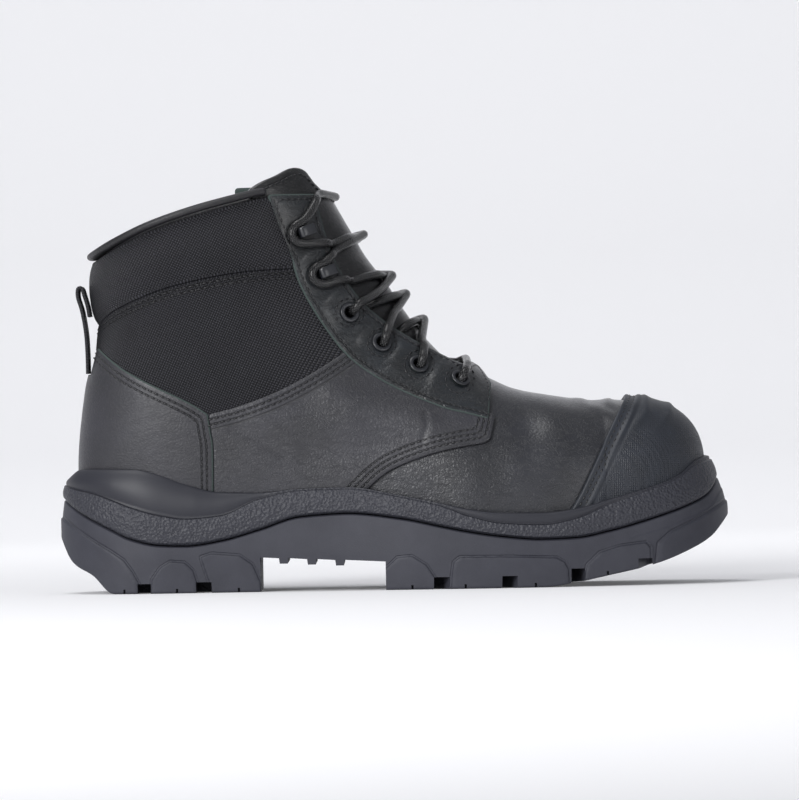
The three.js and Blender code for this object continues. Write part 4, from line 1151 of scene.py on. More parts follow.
# %% [markdown]
# ## Outsole
# Moulded rubber with lugs. Its side carries soft raised arches, one over each lug, which the mould leaves about a
# millimetre proud. The wall is made of many rings so that the arches can be part of the form. The gaps between the lugs,
# the hollow waist with its ribs, and the small sipes have crisp edges, so they are cut out with prisms afterwards.

# %% Outsole
ARCHES = [  # side-view outlines in mm, from the heel to the toe
    [(-175, 48), (-158, 37), (-150, 30.9), (-141.2, 25), (-133.3, 20.2), (-127.7, 16.3), (-123.6, 10.6), (-120.8, 5.3),
     (-120.4, -3), (-175, -3)],
    [(-115.8, -3), (-115.1, 6.7), (-111, 12.5), (-106, 15.4), (-99, 14.8), (-95, 11), (-92.8, 3.7), (-92.5, -3)],
    [(-85.5, -3), (-91, 14), (-91.9, 17.1), (-86.6, 18.9), (-73, 17.7), (-66.9, 13.3), (-63.3, 4.8), (-62.9, -3)],
    [(-5.8, -3), (-5.4, 9.8), (1, 15.6), (8.1, 16.2), (15, 11.8), (19.2, 5.1), (19.5, -3)],
    [(25.8, -3), (26.3, 6.9), (27.3, 13), (30.4, 15.3), (53, 15.1), (76.1, 14.2), (80, 12), (81.9, 8.2), (82.3, -3)],
    [(88.3, -3), (88.9, 5.7), (90, 10.4), (96.2, 16.2), (105.7, 19.1), (118.4, 20.5), (120.6, 18), (121, -3)],
    [(122.6, -3), (122.6, 8), (124, 20), (130, 25), (141, 30), (150, 35), (175, 50), (175, -3)],
]
TOE_STEP = [(86, -3), (90, 12), (97.2, 16.9), (110.4, 22.3), (128.9, 27.2), (140.8, 31.9), (148.9, 35.8), (154.2, 41.8),
            (175, 62), (175, -3)]
ARCH_PROUD, STEP_PROUD, LUG_DEEP = 0.75, 0.4, 27.0
GAPS = [  # place and slant of the side gaps, their size along the sole and up the wall
    (.125, 0, 6.4, .023), (.214, 0, 7.4, .025), (.57, -.3, 7, .028), (.671, -.3, 7, .028), (.773, -.2, 6.6, .042),
    (.872, .2, 6, .062)]
MIDDLE_GROOVES = [.6, .665, .73, .795, .855]
WAIST = dict(start=.299, end=.486, roof_start=.08, roof_end=.066, ribs=(.334, .376, .418), rib_along=4.5, rib_deep=2.6)
SIPES = [-127.9, -103, -73.8, 8, 33, 66, 100]


def inside_outline(outline, x, z):
    """Distance inside a closed side-view outline, negative outside it."""
    line = np.array(outline + outline[:1], float)
    best, within = np.full(x.shape, 1e9), np.zeros(x.shape, bool)
    for a, b in zip(line, line[1:]):
        run = b - a
        t = np.clip(((x - a[0]) * run[0] + (z - a[1]) * run[1]) / (run @ run), 0, 1)
        best = np.minimum(best, np.hypot(x - a[0] - t * run[0], z - a[1] - t * run[1]))
        if run[1]:
            within ^= ((a[1] > z) != (b[1] > z)) & (x < a[0] + (z - a[1]) * run[0] / run[1])
    return np.where(within, best, -best)


def soft(share):
    share = np.clip(share, 0, 1)
    return share * share * (3 - 2 * share)


def lug_lift(x, z):
    arches = np.max([inside_outline(outline, x, z) for outline in ARCHES], axis=0)
    return ARCH_PROUD * soft(arches / 0.7) + STEP_PROUD * soft(inside_outline(TOE_STEP, x, z) / 0.9 + 0.5)


def prism(corners, start, end):
    """A solid between two values of y over a side-view outline that runs clockwise."""
    corners = np.array(corners, float)
    n = len(corners)
    points = np.concatenate([np.stack([corners[:, 0], np.full(n, y), corners[:, 1]], 1) for y in (start, end)])
    sides = [(k, (k + 1) % n, n + (k + 1) % n, n + k) for k in range(n)]
    mesh = bpy.data.meshes.new("cutter")
    mesh.from_pydata((points * MM).tolist(), [], [list(range(n))[::-1], list(range(n, 2 * n))] + sides)
    return mesh


def carve(made, cutters):
    """Subtracts each cutter mesh from the object and leaves a plain mesh."""
    helpers = []
    for mesh in cutters:
        helper = bpy.data.objects.new("cutter", mesh)
        bpy.context.scene.collection.objects.link(helper)
        modifier = made.modifiers.new("cut", "BOOLEAN")
        modifier.operation, modifier.solver, modifier.object = "DIFFERENCE", "MANIFOLD", helper
        helpers.append(helper)
    bpy.context.view_layer.update()
    carved = bpy.data.meshes.new_from_object(made.evaluated_get(bpy.context.evaluated_depsgraph_get()))
    made.modifiers.clear()
    made.data = carved
    for helper in helpers:
        bpy.data.objects.remove(helper)
    return made


def turned_box(x, y, along_it, across, tall, turn):
    """A box centred on the floor's plane, turned about the upright."""
    c, s = math.cos(turn), math.sin(turn)
    corners = [(x + c * a - s * b, y + s * a + c * b) for a, b in
               ((-along_it / 2, -across / 2), (along_it / 2, -across / 2), (along_it / 2, across / 2),
                (-along_it / 2, across / 2))]
    mesh = bpy.data.meshes.new("cutter")
    points = [(a * MM, b * MM, h * MM) for h in (-tall, tall) for a, b in corners]
    mesh.from_pydata(points, [], [(3, 2, 1, 0), (4, 5, 6, 7)] + [(k, (k + 1) % 4, 4 + (k + 1) % 4, 4 + k) for k in range(4)])
    return mesh


def tread_ring(z_of, grow):
    return wall_ring(z_of, lambda x: grow + lug_lift(x, z_of(x)))


rings = [wall_ring(level("ground"), -1.3), tread_ring(level("ground", shift=0.3), -0.45)]
rings += [tread_ring(level("ground", "joint", t, 0.9 * (1 - t) - 0.9 * t), 0.0) for t in np.linspace(0, 1, 44)]
rings += [tread_ring(level("joint", shift=-0.55), -0.3), wall_ring(level("joint", shift=-0.2), -1.2)]
rings.append(wall_ring(lambda x: np.minimum(side_height("joint", x) - 0.2, side_height("bed", x) - 0.9), -8.0))
outsole = make_object("outsole_tread", np.concatenate(rings), ring_stack(rings))
cutters = []
for share, slant, along_it, top in GAPS:
    for side, edge in ((-1, "outer"), (1, "inner")):
        y = (PLAN["swing"](share) + side * PLAN[edge](share)) * SOLE
        cutters.append(turned_box(float(along(share)), float(y), along_it, 2 * LUG_DEEP, float(up(top)), side * slant))
roof = [(float(along(s)), float(up(np.interp(s, (WAIST["start"], WAIST["end"]), (WAIST["roof_start"], WAIST["roof_end"])))))
        for s in WAIST["ribs"]]
ceiling = [(float(along(WAIST["start"])), float(up(WAIST["roof_start"])))]
for x, z in roof:
    half, low = WAIST["rib_along"] / 2, WAIST["rib_deep"]
    ceiling += [(x - half, z), (x - half + 0.4, z - low), (x + half - 0.4, z - low), (x + half, z)]
ceiling.append((float(along(WAIST["end"])), float(up(WAIST["roof_end"]))))
cutters.append(prism(ceiling + [(float(along(WAIST["end"])), -2), (float(along(WAIST["start"])), -2)], -80, 80))
for share in MIDDLE_GROOVES:
    outer, inner = [float(PLAN[edge](share)) * SOLE for edge in ("outer", "inner")]
    middle = float(PLAN["swing"](share)) * SOLE + (inner - outer) / 2
    cutters.append(turned_box(float(along(share)), middle, 4.5, outer + inner - 2 * LUG_DEEP,
                              5 + float(side_height("ground", along(share))), 0))
for x in SIPES:
    for side, edge in ((-1, "outer"), (1, "inner")):
        y = side * float(PLAN[edge](x / LENGTH + 0.5)) * SOLE
        cutters.append(turned_box(x, y, 1.0, 12, 2.2 + float(side_height("ground", x)), 0))
carve(outsole, cutters)
outsole.data.set_sharp_from_angle(angle=math.radians(38))
spots = np.empty(len(outsole.data.vertices) * 3, np.float32)
outsole.data.vertices.foreach_get("co", spots)
spots = spots.reshape(-1, 3) / MM
arch = np.max([inside_outline(outline, spots[:, 0], spots[:, 2]) for outline in ARCHES], axis=0)
outsole.data.attributes.new("arch", "FLOAT", "POINT").data.foreach_set("value", arch.astype(np.float32))
rubber, tree, shader = finish_material("moulded_outsole_rubber", roughness=0.58)
outline_far = maths(tree, "ABSOLUTE", add_node(tree, "ShaderNodeAttribute", attribute_name="arch").outputs["Fac"])
moulded = ramp(tree, outline_far, [(0.0, 0.0), (0.25, 0.1), (0.75, 1.0)])
worn = add_node(tree, "ShaderNodeTexNoise", {"Vector": object_space(tree), "Scale": 55.0, "Detail": 7.0, "Roughness": 0.6})
speck = add_node(tree, "ShaderNodeTexNoise", {"Vector": object_space(tree), "Scale": 1500.0, "Detail": 2.0})
tree.links.new(blend(tree, maths(tree, "MULTIPLY_ADD", worn.outputs["Fac"], 1.8, -0.4, clamp=True), "#2b2c35", "#393a43"),
               shader.inputs["Base Color"])
tree.links.new(bump(tree, speck.outputs["Fac"], 0.06, bump(tree, worn.outputs["Fac"], 0.25, bump(tree, moulded, 0.4))),
               shader.inputs["Normal"])
for slot_index in range(max(1, len(outsole.data.materials))):
    if len(outsole.data.materials) == 0:
        outsole.data.materials.append(rubber)
    else:
        outsole.data.materials[slot_index] = rubber
piece(outsole, ["outsole"])

# %% [markdown]
# ## Insole
# A removable footbed of pressed foam under a brushed cloth. Only its rear end shows, from above. It follows the last with
# a small gap all round and has a rounded upper edge.

# %% Insole
rings = [np.stack(foot_inside(turns[::2], "bed", sunk, drop), 1) for sunk, drop in
         ((4.4, 0.3), (3.3, 0.6), (3.1, 1.6), (3.2, 2.8), (3.6, 3.6), (4.6, 4.1))]
brushed, tree, shader = finish_material("brushed_footbed_cloth", roughness=0.9)
nap = add_node(tree, "ShaderNodeTexNoise", {"Vector": object_space(tree), "Scale": 900.0, "Detail": 4.0})
tree.links.new(blend(tree, nap.outputs["Fac"], "#141416", "#2e2e33"), shader.inputs["Base Color"])
tree.links.new(bump(tree, nap.outputs["Fac"], 0.3), shader.inputs["Normal"])
footbed = make_object("footbed", np.concatenate(rings), ring_stack(rings), [brushed])
piece(footbed, ["insole"])

# %% [markdown]
# ## Sweeping a section along a path
# A roll, a strap, a bent hook and a cord are one section carried along a line. Each place on the line has a direction
# ahead, one to the side and one up, and the section is drawn in the last two. The ends are closed.

# %% Sweep
def unit(vectors):
    return vectors / np.maximum(np.linalg.norm(vectors, axis=-1, keepdims=True), 1e-9)


def sweep(path, hint, section):
    """Points and faces of a closed section, given as (side, up) in mm, along a path; hint is roughly up at each point."""
    ahead = unit(np.gradient(path, axis=0))
    side = unit(np.cross(ahead, hint))
    rise = np.cross(side, ahead)
    section = np.asarray(section, float)
    ring = path[:, None] + side[:, None] * section[None, :, :1] + rise[:, None] * section[None, :, 1:]
    n, rows = len(section), len(path)
    i, j = np.meshgrid(np.arange(rows - 1), np.arange(n), indexing="ij")
    k = (j + 1) % n
    quads = np.stack([i * n + j, (i + 1) * n + j, (i + 1) * n + k, i * n + k], -1).reshape(-1, 4)
    j = np.arange(n)
    k, last = (j + 1) % n, (rows - 1) * n
    middle = np.full(n, rows * n)
    caps = np.concatenate([np.stack([middle, j, k], 1), np.stack([middle + 1, last + k, last + j], 1)])
    return np.concatenate([ring.reshape(-1, 3), path[:1], path[-1:]]), [quads, caps]


def rounded(wide, tall, count=24, square=4.0):
    """A rounded rectangle as a section."""
    angle = np.linspace(0, 2 * math.pi, count + 1)[:-1]
    c, s = np.cos(angle), np.sin(angle)
    return np.stack([np.sign(c) * np.abs(c) ** (2 / square) * wide / 2,
                     np.sign(s) * np.abs(s) ** (2 / square) * tall / 2], 1)


def evenly(path, step, *others):
    """The path with a point every step mm, with other values carried along."""
    run = np.concatenate([[0], np.cumsum(np.linalg.norm(np.diff(path, axis=0), axis=1))])
    count = max(int(round(run[-1] / step)), 2)
    at = np.linspace(0, run[-1], count + 1)
    return [np.stack([np.interp(at, run, v[:, k]) for k in range(v.shape[1])], 1) for v in (path,) + others]


def traced(skin, line, limits, offset, step):
    """Runs of points along the edge where the distance line is offset mm and the limits hold, with outward normals."""
    far, way = line
    whole, ways = nearest((far - offset, way), *limits)
    close = np.abs(whole) < 0.33
    moved = skin.points - np.where(close, whole, 0)[:, None] * ways
    inside = np.where(close, 0.0, whole)
    values = np.concatenate([moved, skin.normals, far[:, None]], 1)
    values, faces = cut(values, inside, skin.faces)
    runs = []
    for loop in rims(faces):
        on = np.abs(values[loop, 6] - offset) < 0.45
        if on.all():
            loop, on = np.append(loop, loop[0]), np.append(on, True)
        elif on.any():
            first = int(np.argmin(on))
            loop, on = np.roll(loop, -first), np.roll(on, -first)
        edges = np.flatnonzero(np.diff(np.concatenate([[0], on.astype(int), [0]])))
        for a, b in zip(edges[::2], edges[1::2]):
            if b - a > 4:
                path, normal = evenly(values[loop[a:b], :3], step, values[loop[a:b], 3:6])
                path[1:-1] = (path[:-2] + path[1:-1] + path[2:]) / 3
                runs.append((path, unit(normal)))
    return sorted(runs, key=lambda run: -len(run[0]))

# %% [markdown]
# ## Collar binding
# Soft leather folded over the top of the padding as a roll, about as thick as a pencil lead is long: 3.6 mm high and
# 6.6 mm through. It runs round the heel from one eyestay to the other.

# %% Collar binding
path, normal = traced(skin, beside(skin, "collar", -1), [beside(skin, "eyestay_back", -1, 0.6)], -1.9, 1.2)[0]
roll_centre = path + normal * 0.7
points, faces = sweep(roll_centre, normal, rounded(3.7, 6.7, 24, 2.4))
binding = make_object("collar_binding_roll", points, faces, [binding_leather],
                      fields=dict(edge=np.full(len(points), 20.0)))
piece(binding, ["collar_binding"])

# %% [markdown]
# ## Pull loop and collar tab
# The pull loop is a strap of ribbed webbing folded double at the heel. Its lower end runs down under the counter, in the
# slot made for it. A short leather tab stands above the collar on the inner side.

# %% Pull loop and tab
LOOP = [(.043, .512), (.0427, .559), (.041, .608), (.036, .657), (.03, .69), (.0303, .71), (.036, .711), (.0395, .695),
        (.0443, .669), (.0468, .645)]
line = smooth_line(LOOP, 160)
path, = evenly(np.stack([line[:, 0], np.zeros(len(line)), line[:, 1]], 1), 0.7)
points, faces = sweep(path, np.gradient(path, axis=0) @ np.array([[0, 0, 1.0], [0, 1, 0], [-1, 0, 0]]),
                      rounded(STRAP_WIDE, 1.8, 48, 9.0))
run = np.repeat(np.arange(len(path)) * 0.7, 48)
across = np.tile(rounded(STRAP_WIDE, 1.8, 48, 9.0)[:, 0], len(path))
layout = np.concatenate([np.stack([across, run], 1), [[0, 0], [0, run[-1]]]])
loop = make_object("heel_pull_loop", points, faces, [webbing], uv=layout)
piece(loop, ["pull_loop"])


def boxed(skin, centre, half, corner):
    """Distance inside a rounded box of the side view."""
    p = skin.points[:, [0, 2]] - np.array(centre)
    q = np.abs(p) - np.array(half) + corner
    far = np.linalg.norm(np.maximum(q, 0), axis=1) + np.minimum(q.max(1), 0) - corner
    corners = (q > 0).all(1)[:, None]
    grow = np.where(corners, unit(np.maximum(q, 0)), np.where(q[:, :1] > q[:, 1:], [1.0, 0], [0, 1.0])) * np.sign(p)
    return on_skin(skin, -far, -grow)


tab_where = nearest(one_side(fine, True), boxed(fine, (-68.1, 187.2), (5.4, 5.6), 1.6), beside(fine, "collar", 1, 2.2))
tab = panel("collar_tab_leather", fine, tab_where, 3.4, -2.4, [eyestay_leather, cut_edge], roll=0.7)
piece(tab, ["collar_tab"])

# %% [markdown]
# ## Lace hooks
# Each hook is one strip of black painted steel, bent twice: a foot on the leather, a short riser and an arm. It is the
# same bend for all four, swept once for each place and joined to one mesh.

# %% Lace hooks
METAL = dict(roughness=0.34, metallic=0.0, coat_weight=0.35, coat_roughness=0.2)
enamel, tree, shader = finish_material("black_enamel_on_steel", **METAL)
worn = add_node(tree, "ShaderNodeTexNoise", {"Vector": object_space(tree), "Scale": 700.0, "Detail": 4.0})
tree.links.new(blend(tree, worn.outputs["Fac"], "#141519", "#2a2c31"), shader.inputs["Base Color"])
tree.links.new(bump(tree, worn.outputs["Fac"], 0.03), shader.inputs["Normal"])
HOOK_BEND = np.array([(6.0, 0.6), (3.0, 0.6), (1.5, 0.7), (0.8, 1.3), (0.6, 2.4), (0.8, 3.3), (1.6, 3.9), (3.4, 3.95),
                      (6.0, 3.7), (8.4, 3.3)])
HOOK_AHEAD = (.03, .016)
parts, groups, count = [], [[], []], 0
for x, z in HOOKS:
    for inner in (False, True):
        foot, out = [v[0] for v in lifted(*spot(along(x), up(z), inner), EYESTAY + 0.3)]
        ahead = lifted(*spot(along(x + HOOK_AHEAD[0]), up(z + HOOK_AHEAD[1]), inner), EYESTAY + 0.3)[0][0] - foot
        ahead = unit(ahead - out * (ahead @ out))
        bend, = evenly(HOOK_BEND, 0.6)
        path = foot + bend[:, :1] * ahead + bend[:, 1:] * out
        points, faces = sweep(path, np.gradient(bend, axis=0)[:, :1] * out - np.gradient(bend, axis=0)[:, 1:] * ahead,
                              rounded(5.0, 1.2, 16, 4.0))
        parts.append(points)
        for group, new in zip(groups, faces):
            group.append(new + count)
        count += len(points)
hooks = make_object("lace_hooks", np.concatenate(parts), [np.concatenate(g) for g in groups], [enamel])
piece(hooks, [f"hook_{side}_{i}" for side in ("outer", "inner") for i in (1, 2)])

# %% [markdown]
# ## Copies on a path with Geometry Nodes
# Eyelets and stitches repeat. A mesh of bare points carries two directions for each place, one along the seam and one out
# of the leather. The node tree turns one small shape to each point's directions, copies it there, makes the copies real
# and gives them their material. The result is kept as a plain mesh.

# %% Copies
def sockets(tree, names):
    tree.interface.new_socket("Geometry", in_out="INPUT", socket_type="NodeSocketGeometry")
    for name in names:
        kind = "NodeSocketMaterial" if name == "Material" else "NodeSocketFloat"
        tree.interface.new_socket(name, in_out="INPUT", socket_type=kind)
    tree.interface.new_socket("Geometry", in_out="OUTPUT", socket_type="NodeSocketGeometry")


def copied(tree, source, shape):
    """Ends a tree: the shape on each point, turned to the point's directions, made real and given its material."""
    along_it, out = [add_node(tree, "GeometryNodeInputNamedAttribute", {"Name": name}, data_type="FLOAT_VECTOR").outputs[0]
                     for name in ("along", "out")]
    turn = add_node(tree, "FunctionNodeAxesToRotation", {"Primary Axis": out, "Secondary Axis": along_it},
                    primary_axis="Z", secondary_axis="X")
    copies = add_node(tree, "GeometryNodeInstanceOnPoints",
                      {"Points": source.outputs["Geometry"], "Instance": shape, "Rotation": turn.outputs[0]})
    real = add_node(tree, "GeometryNodeRealizeInstances", {"Geometry": copies.outputs[0]})
    smooth = add_node(tree, "GeometryNodeSetShadeSmooth", {"Geometry": real.outputs[0]})
    dressed = add_node(tree, "GeometryNodeSetMaterial",
                       {"Geometry": smooth.outputs[0], "Material": source.outputs["Material"]})
    add_node(tree, "NodeGroupOutput", {"Geometry": dressed.outputs[0]})


def grown(name, tree, points, along_it, out, values):
    """Runs a tree on bare points and keeps the result as a plain mesh."""
    mesh = bpy.data.meshes.new(name)
    mesh.from_pydata((points * MM).tolist(), [], [])
    for key, vectors in (("along", along_it), ("out", out)):
        mesh.attributes.new(key, "FLOAT_VECTOR", "POINT").data.foreach_set("vector", vectors.astype(np.float32).ravel())
    made = bpy.data.objects.new(name, mesh)
    bpy.context.scene.collection.objects.link(made)
    modifier = made.modifiers.new("copies", "NODES")
    modifier.node_group = tree
    for item in tree.interface.items_tree:
        if item.in_out == "INPUT" and item.name in values:
            modifier[item.identifier] = values[item.name]
    bpy.context.view_layer.update()
    plain = bpy.data.meshes.new_from_object(made.evaluated_get(bpy.context.evaluated_depsgraph_get()))
    made.modifiers.clear()
    made.data = plain
    return made

# %% [markdown]
# ## Eyelets
# Pressed steel rings with black paint: a flange that lies on the eyestay and a barrel through the leather. In the node
# tree both are an oval section carried round a circle.

# %% Eyelets
eyelet_tree = bpy.data.node_groups.new("eyelet_rings", "GeometryNodeTree")
sockets(eyelet_tree, ["Hole", "Barrel", "Flange", "Material"])
source = add_node(eyelet_tree, "NodeGroupInput")
joined = add_node(eyelet_tree, "GeometryNodeJoinGeometry")
for inside, outside, high, thick, sides in (("Hole", "Flange", 3.35, 1.1, 24), ("Hole", "Barrel", 0.8, 4.6, 16)):
    both = add_node(eyelet_tree, "ShaderNodeMath", {0: source.outputs[inside], 1: source.outputs[outside]}, operation="ADD")
    radius = add_node(eyelet_tree, "ShaderNodeMath", {0: both.outputs[0], 1: 0.5 * MM}, operation="MULTIPLY")
    gap = add_node(eyelet_tree, "ShaderNodeMath", {0: source.outputs[outside], 1: source.outputs[inside]},
                   operation="SUBTRACT")
    wide = add_node(eyelet_tree, "ShaderNodeMath", {0: gap.outputs[0], 1: MM}, operation="MULTIPLY")
    size = add_node(eyelet_tree, "ShaderNodeCombineXYZ", {"X": wide.outputs[0], "Y": thick * MM, "Z": 1.0})
    ring = add_node(eyelet_tree, "GeometryNodeCurvePrimitiveCircle", {"Resolution": sides, "Radius": radius.outputs[0]})
    dot = add_node(eyelet_tree, "GeometryNodeCurvePrimitiveCircle", {"Resolution": 6, "Radius": 0.5})
    oval = add_node(eyelet_tree, "GeometryNodeTransform", {"Geometry": dot.outputs[0], "Scale": size.outputs[0]})
    tube = add_node(eyelet_tree, "GeometryNodeCurveToMesh", {"Curve": ring.outputs[0], "Profile Curve": oval.outputs[0]})
    lift = add_node(eyelet_tree, "GeometryNodeTransform",
                    {"Geometry": tube.outputs[0], "Translation": (0, 0, high * MM)})
    eyelet_tree.links.new(lift.outputs[0], joined.inputs[0])
copied(eyelet_tree, source, joined.outputs[0])
centres = np.array([centre for centre, _, _ in hole_places])
outs = np.array([normal for _, normal, _ in hole_places])
eyelets = grown("eyelets", eyelet_tree, centres, unit(np.cross(outs, [0, 0, 1.0])), outs,
                dict(Hole=2.6, Barrel=3.2, Flange=4.9, Material=enamel))
piece(eyelets, [f"eyelet_{side}_{i}" for side in ("outer", "inner") for i in (1, 2, 3, 4)])

# %% [markdown]
# ## Lace
# One round braided cord runs the whole way. It leaves each eyelet from underneath, lies over the eyestay, crosses the
# tongue, dips under the other eyestay and comes up through the next eyelet. Higher up it goes round the hooks. Its path
# is a list of places in the side view, and the height over the last follows what lies below it. The braid is bump: two
# sets of strands wind round the cord in opposite ways, about 1.6 mm from one crossing to the next. The pits between the
# strands are also painted a little darker, as shade.

# %% Lace
LEAVE = [  # side-view places from each stop to the ridge, in mm
    [(31.6, 96.4), (34.3, 104.0)],
    [(13.1, 103.9), (13.9, 111.0), (13.9, 117.5)],
    [(-4.3, 114.7), (-3.2, 121.0), (0.6, 129.4)],
    [(-18.8, 131.2), (-17.0, 134.0), (-12.0, 136.8), (-5.0, 141.2)],
    [(-38.3, 149.4), (-36.4, 152.4), (-32.8, 153.6), (-28.8, 158.0), (-24.0, 161.8), (-17.7, 165.0)],
    [(-47.6, 168.9), (-45.8, 172.2), (-42.0, 174.2), (-38.9, 179.0), (-35.9, 184.8), (-31.8, 188.2)],
]
REACH = {  # from the ridge to a hook
    4: [(-4.9, 149.8), (-11.8, 148.2), (-19.0, 146.0), (-26.1, 145.6), (-31.6, 143.9), (-35.4, 144.4), (-37.8, 146.6)],
    5: [(-19.4, 167.2), (-23.9, 165.1), (-30.1, 163.3), (-36.0, 163.4), (-41.2, 163.3), (-45.0, 163.9), (-47.2, 166.2)],
}
RIDGE = [.425, .545, .655, .74, .845, .93]
CORD = 2.1


def rest(at, turn):
    """Where the cord's middle lies: on the eyestay outside the throat line, and on the tongue inside it."""
    p = last_point(at, turn)
    off = -off_line(LINES["throat"], p[:, 0], p[:, 2])[0]
    leather = EYESTAY + 0.45 + CORD + pull(p)
    return -1.0 + (leather + 1.0) * soft((off + 3.5) / 6), off


def route(places, inner):
    """Rows of section, turn and height along side-view places."""
    line = np.array(places, float)
    line = smooth_line(np.stack([line[:, 0] / LENGTH + 0.5, line[:, 1] / TALL], 1), 8 * len(line))
    at, turn = spot(line[:, 0], line[:, 1], inner)
    return np.stack([at, turn, rest(at, turn)[0]], 1)


def leaving(stop, inner):
    rows = route(LEAVE[stop], inner)
    if stop < 4:
        at, turn = rows[0, 0], rows[0, 1]
        start = lifted(at, turn, 0.0)[0]
        far = np.linalg.norm(last_point(rows[:, 0], rows[:, 1]) - start, axis=1)
        rows = rows[far > 2.6]
        far = far[far > 2.6]
        rows[:, 2] = np.maximum(rows[:, 2], 5.9 - np.maximum(far - 4.2, 0) * 0.35)
        rows = np.concatenate([[[at, turn, -3.0], [at, turn, 0.5], [at, turn, 3.6]], rows])
    return rows


def arriving(stop, inner):
    if stop in REACH:
        return route(REACH[stop], inner)
    at, turn = [v[0] for v in spot(*STOPS[stop], inner)]
    share = np.linspace(0, 1, 14)[1:-1]
    ats = RIDGE[stop - 1] + (at - RIDGE[stop - 1]) * share
    turns_to = math.pi + (turn - math.pi) * share
    sunk = soft((rest(ats, turns_to)[1] + 8) / 6)
    rows = np.stack([ats, turns_to, -1.0 - 4.6 * sunk], 1)
    return np.concatenate([rows, [[at, turn, -5.2]]])


def strand(stop, inner):
    """From a stop over the ridge to the next stop on the other side; the one that leaves the outer side lies on top."""
    first = leaving(stop, inner)
    ridge = np.array([[RIDGE[stop], math.pi, -1.3]])
    last = arriving(stop + 1, not inner) if stop < 5 else leaving(5, not inner)[::-1]
    rows = np.concatenate([first, ridge, last])
    top = last_point(rows[:, 0], rows[:, 1])
    run = np.concatenate([[0], np.cumsum(np.linalg.norm(np.diff(top, axis=0), axis=1))])
    if not inner and stop < 5:
        rows[:, 2] += (2 * CORD - 1.0) * np.exp(-((run - run[len(first)]) / 7.0) ** 2)
    return rows


halves = [[strand(stop, (stop % 2 == 1) != swapped) for stop in range(5)] for swapped in (False, True)]
rows = np.concatenate(halves[0] + [strand(5, True)] + [part[::-1] for part in halves[1][::-1]])
path = lifted(rows[:, 0], rows[:, 1], rows[:, 2])[0]
path, = evenly(path, 0.8)
for _ in range(9):
    path[1:-1] = (path[:-2] + 2 * path[1:-1] + path[2:]) / 4
path, = evenly(path, 0.8)
ahead = unit(np.gradient(path, axis=0))
hint = [np.array([0, 0.3, 1.0])]
for direction in ahead[1:]:
    hint.append(unit(hint[-1] - direction * (hint[-1] @ direction)))
angle = np.linspace(0, 2 * math.pi, 13)[:-1]
points, faces = sweep(path, np.array(hint), CORD * np.stack([np.cos(angle), np.sin(angle)], 1))
run = np.append(np.repeat(np.arange(len(path)) * 0.8, 12), [0, len(path) * 0.8])
cosine, sine = [np.append(np.tile(f(angle), len(path)), [1, 1]) for f in (np.cos, np.sin)]
braid, tree, shader = finish_material("waxed_braided_cord", roughness=0.25, coat_weight=0.4, coat_roughness=0.12)
values = {name: add_node(tree, "ShaderNodeAttribute", attribute_name=name).outputs["Fac"] for name in ("run", "cosine", "sine")}
wound = maths(tree, "MULTIPLY", maths(tree, "ARCTAN2", values["sine"], values["cosine"]), 4.0)
pitch = maths(tree, "MULTIPLY", values["run"], math.pi / 1.6)
weave = maths(tree, "MULTIPLY", maths(tree, "SINE", maths(tree, "ADD", wound, pitch)),
              maths(tree, "SINE", maths(tree, "SUBTRACT", wound, pitch)))
crown = maths(tree, "POWER", maths(tree, "ABSOLUTE", weave), 0.5)
tree.links.new(bump(tree, crown, 0.5), shader.inputs["Normal"])
# Painted shade: the pits between the strands are coloured darker than their crowns.
tree.links.new(blend(tree, crown, "#020203", "#0e0e11"), shader.inputs["Base Color"])
lace = make_object("boot_lace", points, faces, [braid], fields=dict(run=run, cosine=cosine, sine=sine))
piece(lace, ["lace"])
print("lace length, mm:", round(len(path) * 0.8))

# %% [markdown]
# ## Stitches
# Lockstitch in thick waxed thread, about eight stitches in 25 mm. Each visible stitch is a small grain of thread pressed
# into the channel. Every row is traced on the skin at its distance from the cut edge, so that it keeps to the panel.

# %% Stitches
THREAD = dict(length=2.5, thick=0.9, pitch=3.2)
thread_tree = bpy.data.node_groups.new("stitches", "GeometryNodeTree")
sockets(thread_tree, ["Length", "Thickness", "Material"])
source = add_node(thread_tree, "NodeGroupInput")
halved = [add_node(thread_tree, "ShaderNodeMath", {0: source.outputs[name], 1: 0.5 * MM}, operation="MULTIPLY").outputs[0]
          for name in ("Length", "Thickness")]
size = add_node(thread_tree, "ShaderNodeCombineXYZ", {"X": halved[0], "Y": halved[1], "Z": halved[1]})
grain = add_node(thread_tree, "GeometryNodeMeshUVSphere", {"Segments": 8, "Rings": 5})
shaped = add_node(thread_tree, "GeometryNodeTransform", {"Geometry": grain.outputs["Mesh"], "Scale": size.outputs[0]})
copied(thread_tree, source, shaped.outputs[0])
thread, tree, shader = finish_material("waxed_thread", roughness=0.38)
twist = add_node(tree, "ShaderNodeTexNoise", {"Vector": object_space(tree), "Scale": 2500.0})
tree.links.new(blend(tree, twist.outputs["Fac"], "#0a0a0c", "#222226"), shader.inputs["Base Color"])


def row(skin, line, limits, offset, top):
    """Stitches on the runs of an edge: places, directions along the seam and outward directions."""
    found = []
    for path, normal in traced(skin, line, limits, offset, THREAD["pitch"]):
        here = dict(points=path, gap=np.full(len(path), offset), edge=np.full(len(path), offset), inner=path[:, 1] > 0)
        height = top(here) if callable(top) else top
        found.append((path + normal * (np.asarray(height) - 0.12)[..., None], unit(np.gradient(path, axis=0)), normal))
    return found


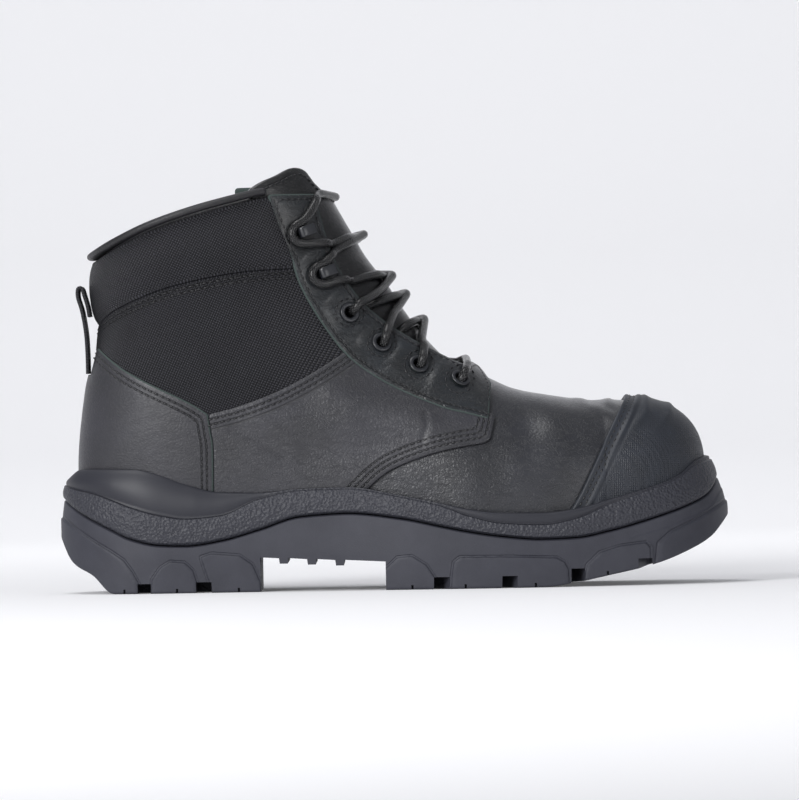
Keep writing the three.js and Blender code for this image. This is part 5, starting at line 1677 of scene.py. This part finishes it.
half_outer, half_inner = one_side(skin, False), one_side(skin, True)
counter_top, quarter_top = crowned(LEATHER - 0.2, 0.5, 8), crowned(LEATHER - 0.2, 0.4, 8)
cloth_top = crowned(CLOTH - 0.4, 1.6, 12, creased=False)
stitch_rows = []
for offset in (3.0, 5.4):
    line = nearest(beside(skin, "fabric_back", -1), beside(skin, "counter_front", -1))
    stitch_rows += row(skin, line, [above_line(skin, "top", 1), strap_slot(skin)], offset, counter_top)
for half in (half_outer, half_inner):
    above = above_line(skin, "top", 1)
    for offset in (2.6, 5.0):
        line = nearest(beside(skin, "fabric_front", -1), beside(skin, "quarter_front", -1))
        stitch_rows += row(skin, line, [half, above, beside(skin, "eyestay_back", -1, 1),
                                        beside(skin, "counter_front", 1)], offset, quarter_top)
    stitch_rows += row(skin, beside(skin, "quarter_front", -1), [half, above, beside(skin, "eyestay_back", -1, 1),
                                                                 beside(skin, "fabric_front", -1)], 7.4, quarter_top)
    for offset in (2.2, 4.4):
        stitch_rows += row(skin, beside(skin, "pad_lower", -1), [half, beside(skin, "eyestay_back", -1, 1)], offset,
                           cloth_top)
stay_top = crowned(EYESTAY, 0.5, 4, creased=False, extra=lambda here: pull(here["points"]))
for inner in (False, True):
    line = nearest(beside(fine, "collar", -1), beside(fine, "throat", -1), beside(fine, "eyestay_back", 1),
                   beside(fine, "quarter_front", -1))
    stitch_rows += row(fine, line, [one_side(fine, inner)], 2.6, stay_top)
for offset in (2.3, 4.3):
    stitch_rows += row(toe_skin, beside(toe_skin, "cap_back", -1), [above_line(toe_skin, "top", 1)], offset,
                       crowned(CAP, 0.2, 3, creased=False, extra=cap_relief))
stitch_rows += row(fine, beside(fine, "tongue_top", -1), [beside(fine, "tongue_back", -1, 3.2)], 3.6, -3.2)
for (x, z), inner in [(stop, inner) for stop in STOPS[:4] for inner in (False, True)]:
    round_it = np.linspace(0, 2 * math.pi, 15)[:-1]
    at, turn = spot(x + 6.6 * np.cos(round_it), z + 6.6 * np.sin(round_it), inner)
    place, normal = lifted(at, turn, EYESTAY + 0.4)
    place += normal * pull(place)[:, None]
    stitch_rows.append((place, unit(np.roll(place, -1, 0) - np.roll(place, 1, 0)), normal))
places, ways, outs = [np.concatenate([found[k] for found in stitch_rows]) for k in range(3)]
stitches = grown("stitches", thread_tree, places, ways, outs,
                 dict(Length=THREAD["length"], Thickness=THREAD["thick"], Material=thread))
piece(stitches, [])
print("stitches:", len(places))

# %% Finish
bpy.context.view_layer.update()
